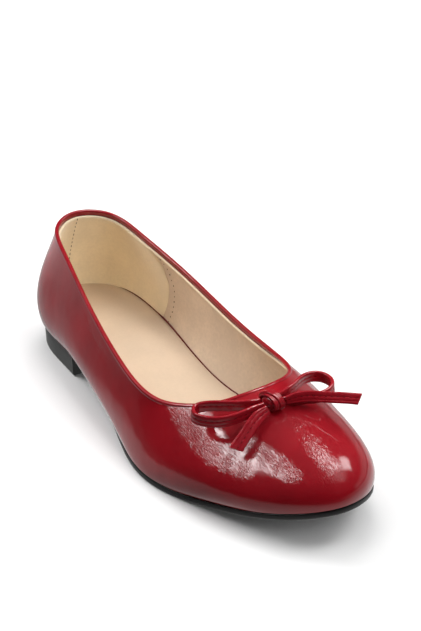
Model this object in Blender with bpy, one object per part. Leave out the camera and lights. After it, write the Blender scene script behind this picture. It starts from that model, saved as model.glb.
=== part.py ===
"""A women's ballet flat for the right foot, empty and standing on its own sole.

Metres, +X towards the toe, +Y towards the inner side of the foot, +Z up. The floor is z = 0 and
the origin is the middle of the heel's tread. Every shape is worked out along the last, with x = 0 at
the back of the heel, and an empty then carries all the pieces to the origin.
"""
import math

import bpy
import numpy as np

# The last: the form that the shoe is made on
LAST_LENGTH = 0.243     # feather line, where upper meets sole, from the back of the heel to the toe
BALL_WIDTH = 0.085      # feather line across the ball of the foot
BACK_HEIGHT = 0.052     # topline over the feather line at the back seam
INSTEP_HEIGHT = 0.042   # topline over the feather line at the front of the throat
TOE_SPRING = 0.0163     # rise of the toe's tip over the ball

# Bottom of the shoe
SOLE_THICKNESS = 0.0032       # outsole under the forepart
SEAT_SOLE_THICKNESS = 0.0022  # outsole where it runs over the heel
HEEL_HEIGHT = 0.0108          # heel block
HEEL_LENGTH = 0.054           # from the back of the feather line to the breast of the heel
HEEL_INSET = 0.0004           # the heel's top lies inside the feather line
HEEL_TAPER = 0.0008           # the tread lies inside the heel's top
SOLE_LIP = 0.0002             # outsole stands proud of the feather line at the forepart
SHANK_TUCK = 0.0009           # and is tucked under it at the waist and heel
SOLE_BEVEL = 0.0006           # rounding of the outsole's lower edge

# Upper and what goes in it
WALL = 0.0018             # patent leather, stiffener and lining together
LASTED_MARGIN = 0.0085    # upper turned in under the insole
INSOLE_THICKNESS = 0.0026
BINDING_STRIP = 0.0007    # thickness of the strip folded over the topline
BINDING_WIDTH = 0.0029    # across the folded strip
BINDING_DEPTH = 0.0034    # from its fold to its two edges
BINDING_PROUD = 0.0003    # its outer leg stands out of the wall
CLEARANCE = 0.0003        # between neighbouring pieces

# Where the outsole lies flat, and where the seat does, in shares of the last's length
SEAT_FRONT = 0.20
TREAD_BACK = 0.56
TREAD_FRONT = 0.70
SPRING_CURVE = 1.6        # power of the toe's rise

# Bow of one flat strip, stitched along both edges, tied on the vamp
STRIP_WIDTH = 0.0048
STRIP_THICKNESS = 0.0014
KNOT_LENGTH = 0.0085      # along the throat
KNOT_DEPTH = 0.0105       # from the throat towards the toe
KNOT_HEIGHT = 0.0072
BOW_SPREAD = 0.032        # reach of one loop from the knot
BOW_SETBACK = 0.0145      # middle of the knot in front of the topline

# Rounding of the binding's fold, in shares of its width, and of a strip's edges, of its thickness
FOLD_SHOULDER = 0.35
FOLD_CROWN = 0.10
FOLD_INSET = 0.21
STRIP_SOFTENING = 0.25

# How finely the surfaces are divided
STATIONS_PER_ROW = 6      # round the last, between two sections
WALL_SHARES = (0.10, 0.20, 0.31, 0.42, 0.54, 0.66, 0.78, 0.90)  # up the wall
CURVE_STEPS = 60          # for measuring along the wall
NORMAL_STEP = 1e-3        # share of the wall's curve over which its slope is read
PLATE_CELLS = 4           # across the sole and insole
STRIP_STATIONS = {"bow_loop_outer": 30, "bow_loop_inner": 30, "bow_tail_outer": 10, "bow_tail_inner": 12}
KNOT_SIDES = 20
KNOT_RINGS = ((-1.0, 0.80), (-0.75, 0.95), (-0.3, 1.0), (0.3, 1.0), (0.75, 0.95), (1.0, 0.80))
SHARP_ANGLE = 35          # degrees

# Sections round the last, from the back seam along the outer side to the toe and back along the
# inner side. Feather line and topline: along is a share of LAST_LENGTH and across of BALL_WIDTH.
# The topline's height over the feather line is a share of BACK_HEIGHT and one of INSTEP_HEIGHT. The
# wall leaves the feather line and meets the topline by two handles: out is a share of BALL_WIDTH,
# up and down of INSTEP_HEIGHT.
SECTION_COLUMNS = (
    "along", "across", "foot_out", "foot_up",
    "top_along", "top_across", "of_back", "of_instep", "top_out", "top_down",
)
SECTIONS = {
    "back_seam":   (0.000, 0.000, 0.070, 0.43, 0.042, 0.000, 1.000, 0.00, 0.035, 0.34),
    "heel_outer":  (0.040, -0.235, 0.070, 0.43, 0.070, -0.158, 0.970, 0.00, 0.040, 0.33),
    "seat_outer":  (0.155, -0.325, 0.075, 0.31, 0.158, -0.251, 0.900, 0.00, 0.035, 0.32),
    "shank_outer": (0.315, -0.362, 0.120, 0.22, 0.315, -0.338, 0.500, 0.29, 0.020, 0.29),
    "waist_outer": (0.455, -0.428, 0.095, 0.23, 0.470, -0.402, 0.200, 0.59, 0.015, 0.29),
    "ball_outer":  (0.640, -0.526, 0.020, 0.20, 0.612, -0.375, 0.000, 0.78, 0.045, 0.135),
    "vamp_outer":  (0.782, -0.403, 0.130, 0.265, 0.691, -0.228, 0.000, 0.89, 0.160, 0.21),
    "toe_outer":   (0.912, -0.262, 0.060, 0.30, 0.717, -0.107, 0.000, 0.97, 0.270, 0.19),
    "toe_tip":     (1.000, 0.015, 0.045, 0.43, 0.724, 0.000, 0.000, 1.00, 0.350, 0.12),
    "toe_inner":   (0.950, 0.310, 0.055, 0.44, 0.720, 0.110, 0.000, 1.00, 0.340, 0.08),
    "vamp_inner":  (0.840, 0.435, 0.052, 0.41, 0.696, 0.245, 0.000, 0.95, 0.220, 0.12),
    "ball_inner":  (0.693, 0.458, 0.045, 0.36, 0.625, 0.365, 0.000, 0.86, 0.090, 0.15),
    "waist_inner": (0.528, 0.286, 0.095, 0.29, 0.470, 0.372, 0.200, 0.63, 0.020, 0.27),
    "shank_inner": (0.380, 0.238, 0.140, 0.29, 0.312, 0.345, 0.500, 0.29, 0.012, 0.29),
    "seat_inner":  (0.172, 0.306, 0.072, 0.34, 0.152, 0.268, 0.880, 0.00, 0.035, 0.33),
    "heel_inner":  (0.035, 0.225, 0.070, 0.43, 0.060, 0.175, 0.965, 0.00, 0.037, 0.34),
}

# Centre lines of the bow's strips from the middle of the knot, in shares of BOW_SPREAD. Lean is the
# strip's own tilt in degrees: 90 stands on its edge, 0 lies flat.
STRIP_COLUMNS = ("forward", "across", "up", "lean")
BOW_STRIPS = {
    "bow_loop_outer": (
        (-0.056, -0.153, -0.006, 90),
        (-0.085, -0.265, -0.020, 90),
        (-0.190, -0.420, -0.045, 90),
        (-0.360, -0.590, -0.078, 90),
        (-0.500, -0.750, -0.105, 88),
        (-0.548, -0.900, -0.130, 85),
        (-0.445, -1.000, -0.150, 82),
        (-0.275, -0.955, -0.155, 82),
        (-0.095, -0.780, -0.138, 85),
        (0.005, -0.540, -0.092, 88),
        (0.028, -0.310, -0.048, 90),
        (0.030, -0.153, -0.025, 90),
    ),
    "bow_loop_inner": (
        (-0.025, 0.153, 0.010, 90),
        (-0.020, 0.300, 0.045, 90),
        (-0.095, 0.490, 0.065, 90),
        (-0.172, 0.700, 0.060, 90),
        (-0.135, 0.855, 0.053, 90),
        (0.010, 0.940, 0.040, 92),
        (0.190, 0.890, 0.022, 95),
        (0.258, 0.710, -0.012, 97),
        (0.194, 0.515, -0.028, 95),
        (0.112, 0.328, -0.033, 92),
        (0.050, 0.153, -0.026, 90),
    ),
    "bow_tail_outer": (
        (0.132, -0.156, -0.028, -62),
        (0.168, -0.350, -0.085, -48),
        (0.232, -0.545, -0.198, -38),
        (0.300, -0.780, -0.375, -36),
    ),
    "bow_tail_inner": (
        (0.125, 0.153, 0.018, 84),
        (0.200, 0.345, 0.050, 72),
        (0.390, 0.595, 0.058, 58),
        (0.556, 0.820, 0.040, 52),
        (0.695, 0.995, 0.020, 48),
    ),
}

# Colours as linear RGB, roughness and metallic value
PATENT = (0.340, 0.010, 0.018, 1.0)
SOCK = (0.760, 0.580, 0.390, 1.0)
SOLE_BLACK = (0.030, 0.034, 0.033, 1.0)


def eased(share):
    """Smooth step from 0 to 1."""
    share = np.clip(share, 0.0, 1.0)
    return share * share * (3.0 - 2.0 * share)


def raised_heel(x):
    """1 over the seat, falling to 0 at the tread of the forepart."""
    return eased((TREAD_BACK - x / LAST_LENGTH) / (TREAD_BACK - SEAT_FRONT))


def feather_height(x):
    """Underside of the upper over the floor."""
    at_ball = SOLE_THICKNESS + CLEARANCE
    at_seat = HEEL_HEIGHT + SEAT_SOLE_THICKNESS + 2.0 * CLEARANCE
    towards_tip = np.clip((x / LAST_LENGTH - TREAD_FRONT) / (1.0 - TREAD_FRONT), 0.0, None)
    return at_ball + (at_seat - at_ball) * raised_heel(x) + TOE_SPRING * towards_tip ** SPRING_CURVE


def sole_thickness(x):
    return SOLE_THICKNESS + (SEAT_SOLE_THICKNESS - SOLE_THICKNESS) * raised_heel(x)


def sole_underside(x):
    return np.round(feather_height(x) - CLEARANCE - sole_thickness(x), 9)


def closed_spline(knots, values, period, at):
    """Smooth closed curve through values at knots, read at the places in at."""
    gap = np.diff(np.append(knots, knots[0] + period))
    rise = np.roll(values, -1, axis=0) - values
    count = len(knots)
    system = np.zeros((count, count))
    right = np.zeros_like(values)
    for i in range(count):
        system[i, i - 1] += gap[i - 1]
        system[i, i] += 2.0 * (gap[i - 1] + gap[i])
        system[i, (i + 1) % count] += gap[i]
        right[i] = 6.0 * (rise[i] / gap[i] - rise[i - 1] / gap[i - 1])
    bend = np.linalg.solve(system, right)
    first = np.clip(np.searchsorted(knots, at, side="right") - 1, 0, count - 1)
    second = (first + 1) % count
    step = gap[first][:, None]
    b = ((at - knots[first]) / gap[first])[:, None]
    a = 1.0 - b
    swing = (a ** 3 - a) * bend[first] + (b ** 3 - b) * bend[second]
    return a * values[first] + b * values[second] + swing * step * step / 6.0


def outward(curve):
    """Level outward normals of a closed curve seen from above."""
    along = np.roll(curve[:, :2], -1, axis=0) - np.roll(curve[:, :2], 1, axis=0)
    along /= np.linalg.norm(along, axis=1)[:, None]
    normal = np.zeros_like(curve)
    normal[:, 0] = -along[:, 1]
    normal[:, 1] = along[:, 0]
    x, y = curve[:, 0], curve[:, 1]
    turn = np.sum(x * np.roll(y, -1) - y * np.roll(x, -1))
    return -normal if turn > 0 else normal


class Wall:
    """The outer surface of the upper: a curve at each station, from the feather line to the topline."""

    def __init__(self, per_row=STATIONS_PER_ROW):
        table = np.array(list(SECTIONS.values()))
        column = {name: table[:, i] for i, name in enumerate(SECTION_COLUMNS)}
        top_x = column["top_along"] * LAST_LENGTH
        rise = column["of_back"] * BACK_HEIGHT + column["of_instep"] * INSTEP_HEIGHT
        values = np.stack([
            column["along"] * LAST_LENGTH,
            column["across"] * BALL_WIDTH,
            column["foot_out"] * BALL_WIDTH,
            column["foot_up"] * INSTEP_HEIGHT,
            top_x,
            column["top_across"] * BALL_WIDTH,
            feather_height(top_x) + rise,
            column["top_out"] * BALL_WIDTH,
            column["top_down"] * INSTEP_HEIGHT,
        ], axis=1)
        gap = np.linalg.norm(np.roll(values[:, :2], -1, axis=0) - values[:, :2], axis=1)
        knots = np.concatenate([[0.0], np.cumsum(gap)[:-1]])
        shares = np.arange(per_row) / per_row
        at = (knots[:, None] + gap[:, None] * shares[None, :]).ravel()
        self.count = len(at)
        read = closed_spline(knots, values, gap.sum(), at)
        feather = np.stack([read[:, 0], read[:, 1], feather_height(read[:, 0])], axis=1)
        topline = read[:, 4:7]
        up = np.array([0.0, 0.0, 1.0])
        self.feather = feather
        self.topline = topline
        self.foot_handle = feather + outward(feather) * read[:, 2:3] + up * read[:, 3:4]
        self.top_handle = topline + outward(topline) * read[:, 7:8] - up * read[:, 8:9]
        self.grid = np.linspace(0.0, 1.0, CURVE_STEPS + 1)
        self.curves = np.stack([self.at(np.full(self.count, v)) for v in self.grid])
        steps = np.linalg.norm(np.diff(self.curves, axis=0), axis=2)
        self.run = np.concatenate([np.zeros((1, self.count)), np.cumsum(steps, axis=0)])

    def at(self, v):
        """Points at shares v of each station's curve."""
        v = v[:, None]
        u = 1.0 - v
        return (u ** 3 * self.feather + 3 * u * u * v * self.foot_handle
                + 3 * u * v * v * self.top_handle + v ** 3 * self.topline)

    def normals(self, v):
        """Outward normals of the surface at shares v."""
        point = self.at(v)
        around = np.roll(point, -1, axis=0) - np.roll(point, 1, axis=0)
        up = self.at(np.minimum(v + NORMAL_STEP, 1.0)) - self.at(np.maximum(v - NORMAL_STEP, 0.0))
        normal = np.cross(around, up)
        return normal / np.linalg.norm(normal, axis=1)[:, None]

    def share_below_top(self, distance):
        """Share of each curve at a distance down from the topline."""
        return np.array([
            np.interp(self.run[-1, i] - distance, self.run[:, i], self.grid) for i in range(self.count)
        ])

    def offset(self, v, out):
        return self.at(v) + self.normals(v) * out

    def below_top(self, distance, out):
        """Points at a distance below the topline, moved out along the normal."""
        return self.offset(self.share_below_top(distance), out)

    def inset(self, distance):
        """The feather line moved inwards, on the surface that the upper's underside lies on."""
        line = self.feather - outward(self.feather) * distance
        line[:, 2] = feather_height(line[:, 0])
        return line


def material(name, color, roughness, metallic=0.0, coat=0.0):
    result = bpy.data.materials.new(name)
    result.use_nodes = True
    shader = result.node_tree.nodes["Principled BSDF"]
    shader.inputs["Base Color"].default_value = color
    shader.inputs["Roughness"].default_value = roughness
    shader.inputs["Metallic"].default_value = metallic
    shader.inputs["Coat Weight"].default_value = coat
    result.diffuse_color = color
    return result


def add_piece(name, points, faces, finish, carrier):
    """A named object from points and faces, turned so that its faces point outwards."""
    mesh = bpy.data.meshes.new(name)
    mesh.from_pydata([tuple(map(float, p)) for p in points], [], faces)
    mesh.validate()
    if enclosed_volume(mesh) < 0:
        mesh.flip_normals()
    mesh.shade_smooth()
    mesh.set_sharp_from_angle(angle=math.radians(SHARP_ANGLE))
    mesh.materials.append(finish)
    piece = bpy.data.objects.new(name, mesh)
    bpy.context.collection.objects.link(piece)
    piece.parent = carrier
    return piece


def enclosed_volume(mesh):
    mesh.calc_loop_triangles()
    total = 0.0
    for triangle in mesh.loop_triangles:
        a, b, c = (mesh.vertices[i].co for i in triangle.vertices)
        total += a.dot(b.cross(c))
    return total / 6.0


def ring_body(rings):
    """A closed body swept round the shoe: each ring is one corner of its cross-section."""
    count = len(rings[0])
    points = np.concatenate(rings)
    faces = []
    for level in range(len(rings)):
        above = (level + 1) % len(rings)
        for i in range(count):
            j = (i + 1) % count
            faces.append((level * count + i, level * count + j, above * count + j, above * count + i))
    return points, faces


def plate_side(outline, height, cells):
    """Rows of points across a closed outline whose first and middle points are its two ends.

    Returns the points, the rows of their numbers and the numbers along the outline.
    """
    half = len(outline) // 2
    points = []
    rows = []
    for i in range(half + 1):
        pair = (outline[i], outline[-i]) if 0 < i < half else (outline[i],)
        row = []
        shares = np.linspace(0.0, 1.0, cells + 1) if len(pair) == 2 else [0.0]
        for share in shares:
            place = pair[0] + (pair[-1] - pair[0]) * share
            row.append(len(points))
            points.append((place[0], place[1], height(place[0])))
        rows.append(row)
    rim = [row[0] for row in rows] + [row[-1] for row in rows[-2:0:-1]]
    return points, rows, rim


def row_faces(rows, start=0):
    """Quads between rows of equal length and triangles to a row of one point."""
    faces = []
    for near, far in zip(rows, rows[1:]):
        if len(near) == 1:
            faces += [(near[0], far[k + 1], far[k]) for k in range(len(far) - 1)]
        elif len(far) == 1:
            faces += [(near[k], near[k + 1], far[0]) for k in range(len(near) - 1)]
        else:
            faces += [(near[k], near[k + 1], far[k + 1], far[k]) for k in range(len(near) - 1)]
    return [tuple(start + n for n in face) for face in faces]


def plate_body(lower, lower_height, upper, upper_height, middle=(), cells=PLATE_CELLS):
    """A plate between two outlines, with loose rings of points round its edge in between."""
    points, rows, rim = plate_side(lower, lower_height, cells)
    faces = row_faces(rows)
    rims = [rim]
    for ring in middle:
        rims.append(list(range(len(points), len(points) + len(ring))))
        points += [tuple(p) for p in ring]
    top_points, top_rows, top_rim = plate_side(upper, upper_height, cells)
    start = len(points)
    faces += [face[::-1] for face in row_faces(top_rows, start)]
    points += top_points
    rims.append([start + n for n in top_rim])
    for below, above in zip(rims, rims[1:]):
        for i in range(len(below)):
            j = (i + 1) % len(below)
            faces.append((below[i], below[j], above[j], above[i]))
    return points, faces


def make_upper(wall, finish, carrier):
    """One wall from the turned-in margin under the foot to the skived edge in the binding."""
    line = wall.share_below_top(BINDING_DEPTH + CLEARANCE)
    levels = [line * share for share in WALL_SHARES]
    skived_out = BINDING_PROUD - BINDING_STRIP - CLEARANCE
    skived_in = BINDING_PROUD - BINDING_WIDTH + BINDING_STRIP + CLEARANCE
    edge = BINDING_STRIP + CLEARANCE
    up = np.array([0.0, 0.0, 1.0])
    rings = [wall.feather]
    rings += [wall.at(v) for v in levels]
    rings.append(wall.at(line))
    rings.append(wall.offset(line, skived_out))
    rings.append(wall.below_top(edge, skived_out))
    rings.append(wall.below_top(edge, skived_in))
    rings.append(wall.offset(line, skived_in))
    rings += [wall.offset(v, -WALL) for v in levels[::-1]]
    rings.append(wall.inset(WALL) + up * WALL)
    rings.append(wall.inset(LASTED_MARGIN) + up * WALL)
    rings.append(wall.inset(LASTED_MARGIN))
    points, faces = ring_body(rings)
    return add_piece("upper", points, faces, finish, carrier)


def make_binding(wall, finish, carrier):
    """A strip folded over the topline: two legs and a rounded fold."""
    outside = BINDING_PROUD
    inside = BINDING_PROUD - BINDING_WIDTH
    shoulder = FOLD_SHOULDER * BINDING_WIDTH
    crown = FOLD_CROWN * BINDING_WIDTH
    turn = FOLD_INSET * BINDING_WIDTH
    section = (
        (BINDING_DEPTH, outside),
        (shoulder, outside),
        (crown, outside - turn),
        (0.0, (outside + inside) / 2),
        (crown, inside + turn),
        (shoulder, inside),
        (BINDING_DEPTH, inside),
        (BINDING_DEPTH, inside + BINDING_STRIP),
        (BINDING_STRIP, inside + BINDING_STRIP),
        (BINDING_STRIP, outside - BINDING_STRIP),
        (BINDING_DEPTH, outside - BINDING_STRIP),
    )
    rings = [wall.below_top(depth, out) for depth, out in section]
    points, faces = ring_body(rings)
    return add_piece("topline_binding", points, faces, finish, carrier)


def make_insole(wall, finish, carrier):
    """The board and sock inside the wall, on the turned-in margin."""
    outline = wall.inset(WALL + CLEARANCE)
    under = WALL + CLEARANCE
    over = under + INSOLE_THICKNESS
    points, faces = plate_body(
        outline, lambda x: feather_height(x) + under,
        outline, lambda x: feather_height(x) + over,
    )
    return add_piece("insole", points, faces, finish, carrier)


def sole_outline(wall, inwards=0.0):
    """Plan of the outsole: proud at the forepart and tucked under at the waist and heel."""
    tuck = raised_heel(wall.feather[:, 0])[:, None]
    lip = SOLE_LIP * (1.0 - tuck) - SHANK_TUCK * tuck - inwards
    return wall.feather + outward(wall.feather) * lip


def make_outsole(wall, finish, carrier):
    top = sole_outline(wall)
    edge = sole_outline(wall)
    edge[:, 2] = sole_underside(edge[:, 0]) + SOLE_BEVEL
    points, faces = plate_body(
        sole_outline(wall, SOLE_BEVEL), sole_underside,
        top, lambda x: feather_height(x) - CLEARANCE,
        middle=[edge],
    )
    return add_piece("outsole", points, faces, finish, carrier)


def heel_outline(wall, inwards):
    """The feather line behind the breast, moved in and cut square, from one breast corner round."""
    line = sole_outline(wall, inwards)
    half = wall.count // 2
    sides = []
    for side in (line[:half + 1], np.roll(line, -1, axis=0)[::-1][:half + 1]):
        keep = int(np.argmax(side[:, 0] > HEEL_LENGTH))
        back, front = side[keep - 1], side[keep]
        share = (HEEL_LENGTH - back[0]) / (front[0] - back[0])
        corner = back + (front - back) * share
        sides.append(np.vstack([side[:keep], corner]))
    return sides


def heel_top(x):
    return feather_height(x) - sole_thickness(x) - 2.0 * CLEARANCE


def heel_rows(wall, inwards, height, start):
    """Points across the heel's outline, the rows of their numbers and the numbers round its rim."""
    outer, inner = heel_outline(wall, inwards)
    rungs = min(len(outer), len(inner))
    points = []
    rows = []
    for a, b in zip(resampled(outer, rungs), resampled(inner, rungs)):
        row = []
        for place in ([a] if np.allclose(a, b) else [a, b]):
            row.append(start + len(points))
            points.append((place[0], place[1], height(place[0])))
        rows.append(row)
    rim = [row[0] for row in rows] + [row[-1] for row in rows[:0:-1]]
    return points, rows, rim


def make_heel(wall, finish, carrier):
    """A low block, its tread a little smaller than its top, with a square breast."""
    points, rows, tread_rim = heel_rows(wall, HEEL_INSET + HEEL_TAPER, lambda x: 0.0, 0)
    faces = row_faces(rows)
    more, rows, top_rim = heel_rows(wall, HEEL_INSET, heel_top, len(points))
    faces += [face[::-1] for face in row_faces(rows)]
    for i in range(len(tread_rim)):
        j = (i + 1) % len(tread_rim)
        faces.append((tread_rim[i], tread_rim[j], top_rim[j], top_rim[i]))
    return add_piece("heel", points + more, faces, finish, carrier)


def open_spline(points, count):
    """Smooth curve through rows of points, read at count even steps of its length."""
    step = np.linalg.norm(np.diff(points[:, :3], axis=0), axis=1)
    knots = np.concatenate([[0.0], np.cumsum(step)])
    size = len(knots)
    system = np.eye(size)
    right = np.zeros_like(points)
    for i in range(1, size - 1):
        system[i, i - 1:i + 2] = (step[i - 1], 2.0 * (step[i - 1] + step[i]), step[i])
        fall = (points[i] - points[i - 1]) / step[i - 1]
        right[i] = 6.0 * ((points[i + 1] - points[i]) / step[i] - fall)
    bend = np.linalg.solve(system, right)
    at = np.linspace(0.0, knots[-1], count)
    first = np.clip(np.searchsorted(knots, at, side="right") - 1, 0, size - 2)
    gap = step[first][:, None]
    b = ((at - knots[first]) / step[first])[:, None]
    a = 1.0 - b
    swing = (a ** 3 - a) * bend[first] + (b ** 3 - b) * bend[first + 1]
    return a * points[first] + b * points[first + 1] + swing * gap * gap / 6.0


def strip_body(path, lean):
    """A flat strip with softened edges along a path, tilted by lean."""
    half_width = STRIP_WIDTH / 2.0
    half_thickness = STRIP_THICKNESS / 2.0
    soft = STRIP_THICKNESS * STRIP_SOFTENING
    corner = (
        (half_width - soft, half_thickness), (half_width, half_thickness - soft),
        (half_width, soft - half_thickness), (half_width - soft, -half_thickness),
        (soft - half_width, -half_thickness), (-half_width, soft - half_thickness),
        (-half_width, half_thickness - soft), (soft - half_width, half_thickness),
    )
    along = np.gradient(path, axis=0)
    along /= np.linalg.norm(along, axis=1)[:, None]
    side = np.cross([0.0, 0.0, 1.0], along)
    side /= np.linalg.norm(side, axis=1)[:, None]
    rise = np.cross(along, side)
    turn = np.radians(lean)[:, None]
    width = np.cos(turn) * side + np.sin(turn) * rise
    depth = np.cross(along, width)
    rings = [[p + width[i] * w + depth[i] * d for w, d in corner] for i, p in enumerate(path)]
    points = np.concatenate(rings)
    ring = len(corner)
    faces = [tuple(range(ring))[::-1]]
    for i in range(len(path) - 1):
        for k in range(ring):
            m = (k + 1) % ring
            faces.append((i * ring + k, i * ring + m, (i + 1) * ring + m, (i + 1) * ring + k))
    faces.append(tuple((len(path) - 1) * ring + k for k in range(ring)))
    return points, faces


def knot_middle(wall):
    """Middle of the knot, which rests on the vamp in front of the throat."""
    tip = wall.count // 2
    rest = KNOT_HEIGHT / 2.0 + CLEARANCE
    return wall.below_top(BOW_SETBACK, rest)[tip]


def make_bow(wall, finish, carrier):
    """Two loops and two tails of one strip, and the knot that they come out of."""
    middle = knot_middle(wall)
    for name, rows in BOW_STRIPS.items():
        table = np.array(rows, dtype=float)
        table[:, :STRIP_COLUMNS.index("lean")] *= BOW_SPREAD
        line = open_spline(table, STRIP_STATIONS[name])
        points, faces = strip_body(line[:, :3] + middle, line[:, 3])
        add_piece(name, points, faces, finish, carrier)
    make_knot(middle, finish, carrier)


def make_knot(middle, finish, carrier):
    """A short barrel lying along the throat, smaller at its two ends."""
    points = []
    for across, size in KNOT_RINGS:
        for k in range(KNOT_SIDES):
            turn = 2.0 * math.pi * k / KNOT_SIDES
            points.append(middle + np.array([
                math.cos(turn) * KNOT_DEPTH / 2.0 * size,
                across * KNOT_LENGTH / 2.0,
                math.sin(turn) * KNOT_HEIGHT / 2.0 * size,
            ]))
    faces = [tuple(range(KNOT_SIDES))]
    last = (len(KNOT_RINGS) - 1) * KNOT_SIDES
    for low in range(0, last, KNOT_SIDES):
        high = low + KNOT_SIDES
        for k in range(KNOT_SIDES):
            m = (k + 1) % KNOT_SIDES
            faces.append((low + m, low + k, high + k, high + m))
    faces.append(tuple(range(last, last + KNOT_SIDES))[::-1])
    return add_piece("bow_knot", points, faces, finish, carrier)


def resampled(line, count):
    """A line read again at count even steps of its length."""
    run = np.concatenate([[0.0], np.cumsum(np.linalg.norm(np.diff(line, axis=0), axis=1))])
    at = np.linspace(0.0, run[-1], count)
    return np.stack([np.interp(at, run, line[:, k]) for k in range(3)], axis=1)


def main():
    for thing in list(bpy.data.objects):
        bpy.data.objects.remove(thing)
    carrier = bpy.data.objects.new("shoe", None)
    bpy.context.collection.objects.link(carrier)
    wall = Wall()
    patent = material("patent_leather", PATENT, 0.12, coat=1.0)
    sock = material("sock_leather", SOCK, 0.6)
    sole_rubber = material("sole_rubber", SOLE_BLACK, 0.5)
    make_upper(wall, patent, carrier)
    make_binding(wall, patent, carrier)
    make_insole(wall, sock, carrier)
    make_outsole(wall, sole_rubber, carrier)
    make_heel(wall, sole_rubber, carrier)
    make_bow(wall, patent, carrier)
    carrier.location = (-HEEL_LENGTH / 2.0, 0.0, 0.0)


main()
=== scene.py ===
"""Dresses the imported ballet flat: patent upper, linings, sock, sole, heel and tied bow, on a pale floor.

Metres, +X towards the toe, +Y towards the inner side of the foot, +Z up. Shapes are worked out along
the last, with x = 0 at the back of the heel, and are then moved to the origin of the frame.
"""
import math
from types import SimpleNamespace

import bpy
import numpy as np
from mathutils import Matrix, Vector


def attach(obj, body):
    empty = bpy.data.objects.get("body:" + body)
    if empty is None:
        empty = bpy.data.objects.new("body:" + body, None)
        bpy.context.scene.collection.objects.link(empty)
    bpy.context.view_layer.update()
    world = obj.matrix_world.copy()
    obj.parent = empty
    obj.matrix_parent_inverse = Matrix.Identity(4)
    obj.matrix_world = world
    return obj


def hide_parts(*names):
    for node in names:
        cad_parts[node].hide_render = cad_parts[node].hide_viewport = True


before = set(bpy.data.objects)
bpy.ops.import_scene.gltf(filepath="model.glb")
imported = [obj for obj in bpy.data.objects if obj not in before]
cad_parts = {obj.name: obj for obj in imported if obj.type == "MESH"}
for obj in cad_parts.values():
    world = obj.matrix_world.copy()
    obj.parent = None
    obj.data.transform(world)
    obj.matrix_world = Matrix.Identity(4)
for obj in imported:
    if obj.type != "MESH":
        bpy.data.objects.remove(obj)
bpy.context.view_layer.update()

bl_info = {
    "name": "Ballet flat",
    "version": (1, 0, 0),
    "blender": (4, 5, 0),
    "location": "View3D > Sidebar > Flat",
    "description": "Makes the outside, linings, sole and bow of a women's ballet flat",
    "category": "Object",
}

# The last and the solids that the pieces lie on
LAST_LENGTH = 0.243
BALL_WIDTH = 0.085
BACK_HEIGHT = 0.052
INSTEP_HEIGHT = 0.042
TOE_SPRING = 0.0163
SOLE_THICKNESS = 0.0032
SEAT_SOLE_THICKNESS = 0.0022
HEEL_HEIGHT = 0.0108
HEEL_LENGTH = 0.054
HEEL_INSET = 0.0004
SOLE_LIP = 0.0002
SHANK_TUCK = 0.0009
WALL = 0.0018
LASTED_MARGIN = 0.0085
INSOLE_THICKNESS = 0.0026
CLEARANCE = 0.0003
SEAT_FRONT = 0.20
TREAD_BACK = 0.56
TREAD_FRONT = 0.70
SPRING_CURVE = 1.6
STRIP_WIDTH = 0.0048
STRIP_THICKNESS = 0.0014
KNOT_LENGTH = 0.0085
KNOT_DEPTH = 0.0105
KNOT_HEIGHT = 0.0072
BOW_SPREAD = 0.032
BOW_SETBACK = 0.0145

# From the last's own place to the frame's origin
TO_FRAME = np.array([-HEEL_LENGTH / 2.0, 0.0, 0.0])

# How finely the surfaces are divided
STATIONS_PER_ROW = 36
CURVE_STEPS = 80
NORMAL_STEP = 1e-3
UPPER_LEVELS = 84
HIDDEN_LEVELS = 10
LINING_LEVELS = 44
SUEDE_ROWS = 46
SUEDE_COLUMNS = 121
BINDING_CORNERS = 46
CUT_EDGE_CORNERS = 20
SOCK_CELLS = 26
SOLE_CELLS = 16
HEEL_STEPS = 70
STRIP_CORNERS = 56
KNOT_SIDES = 96
KNOT_LEVELS = 25
WRAP_CORNERS = 40
WRAP_STEPS = 120
MARK_LINE_STEPS = 60

# Thicknesses of the sheets inside the wall
PATENT_THICKNESS = 0.0009
LINING_THICKNESS = 0.00055
SUEDE_THICKNESS = 0.00055

# The sock's gap to the wall, and its wider gap along the inner side from one section to another
SOCK_GAP = 0.00025
SOCK_INNER_GAP = 0.0009
SOCK_INNER_START = 9.0
SOCK_INNER_END = 15.1
SOCK_TURN_UP = 0.0004
SOCK_TURN_UP_REACH = 0.004

UP = np.array([0.0, 0.0, 1.0])
WHITE = (1.0, 1.0, 1.0, 1.0)

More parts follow.
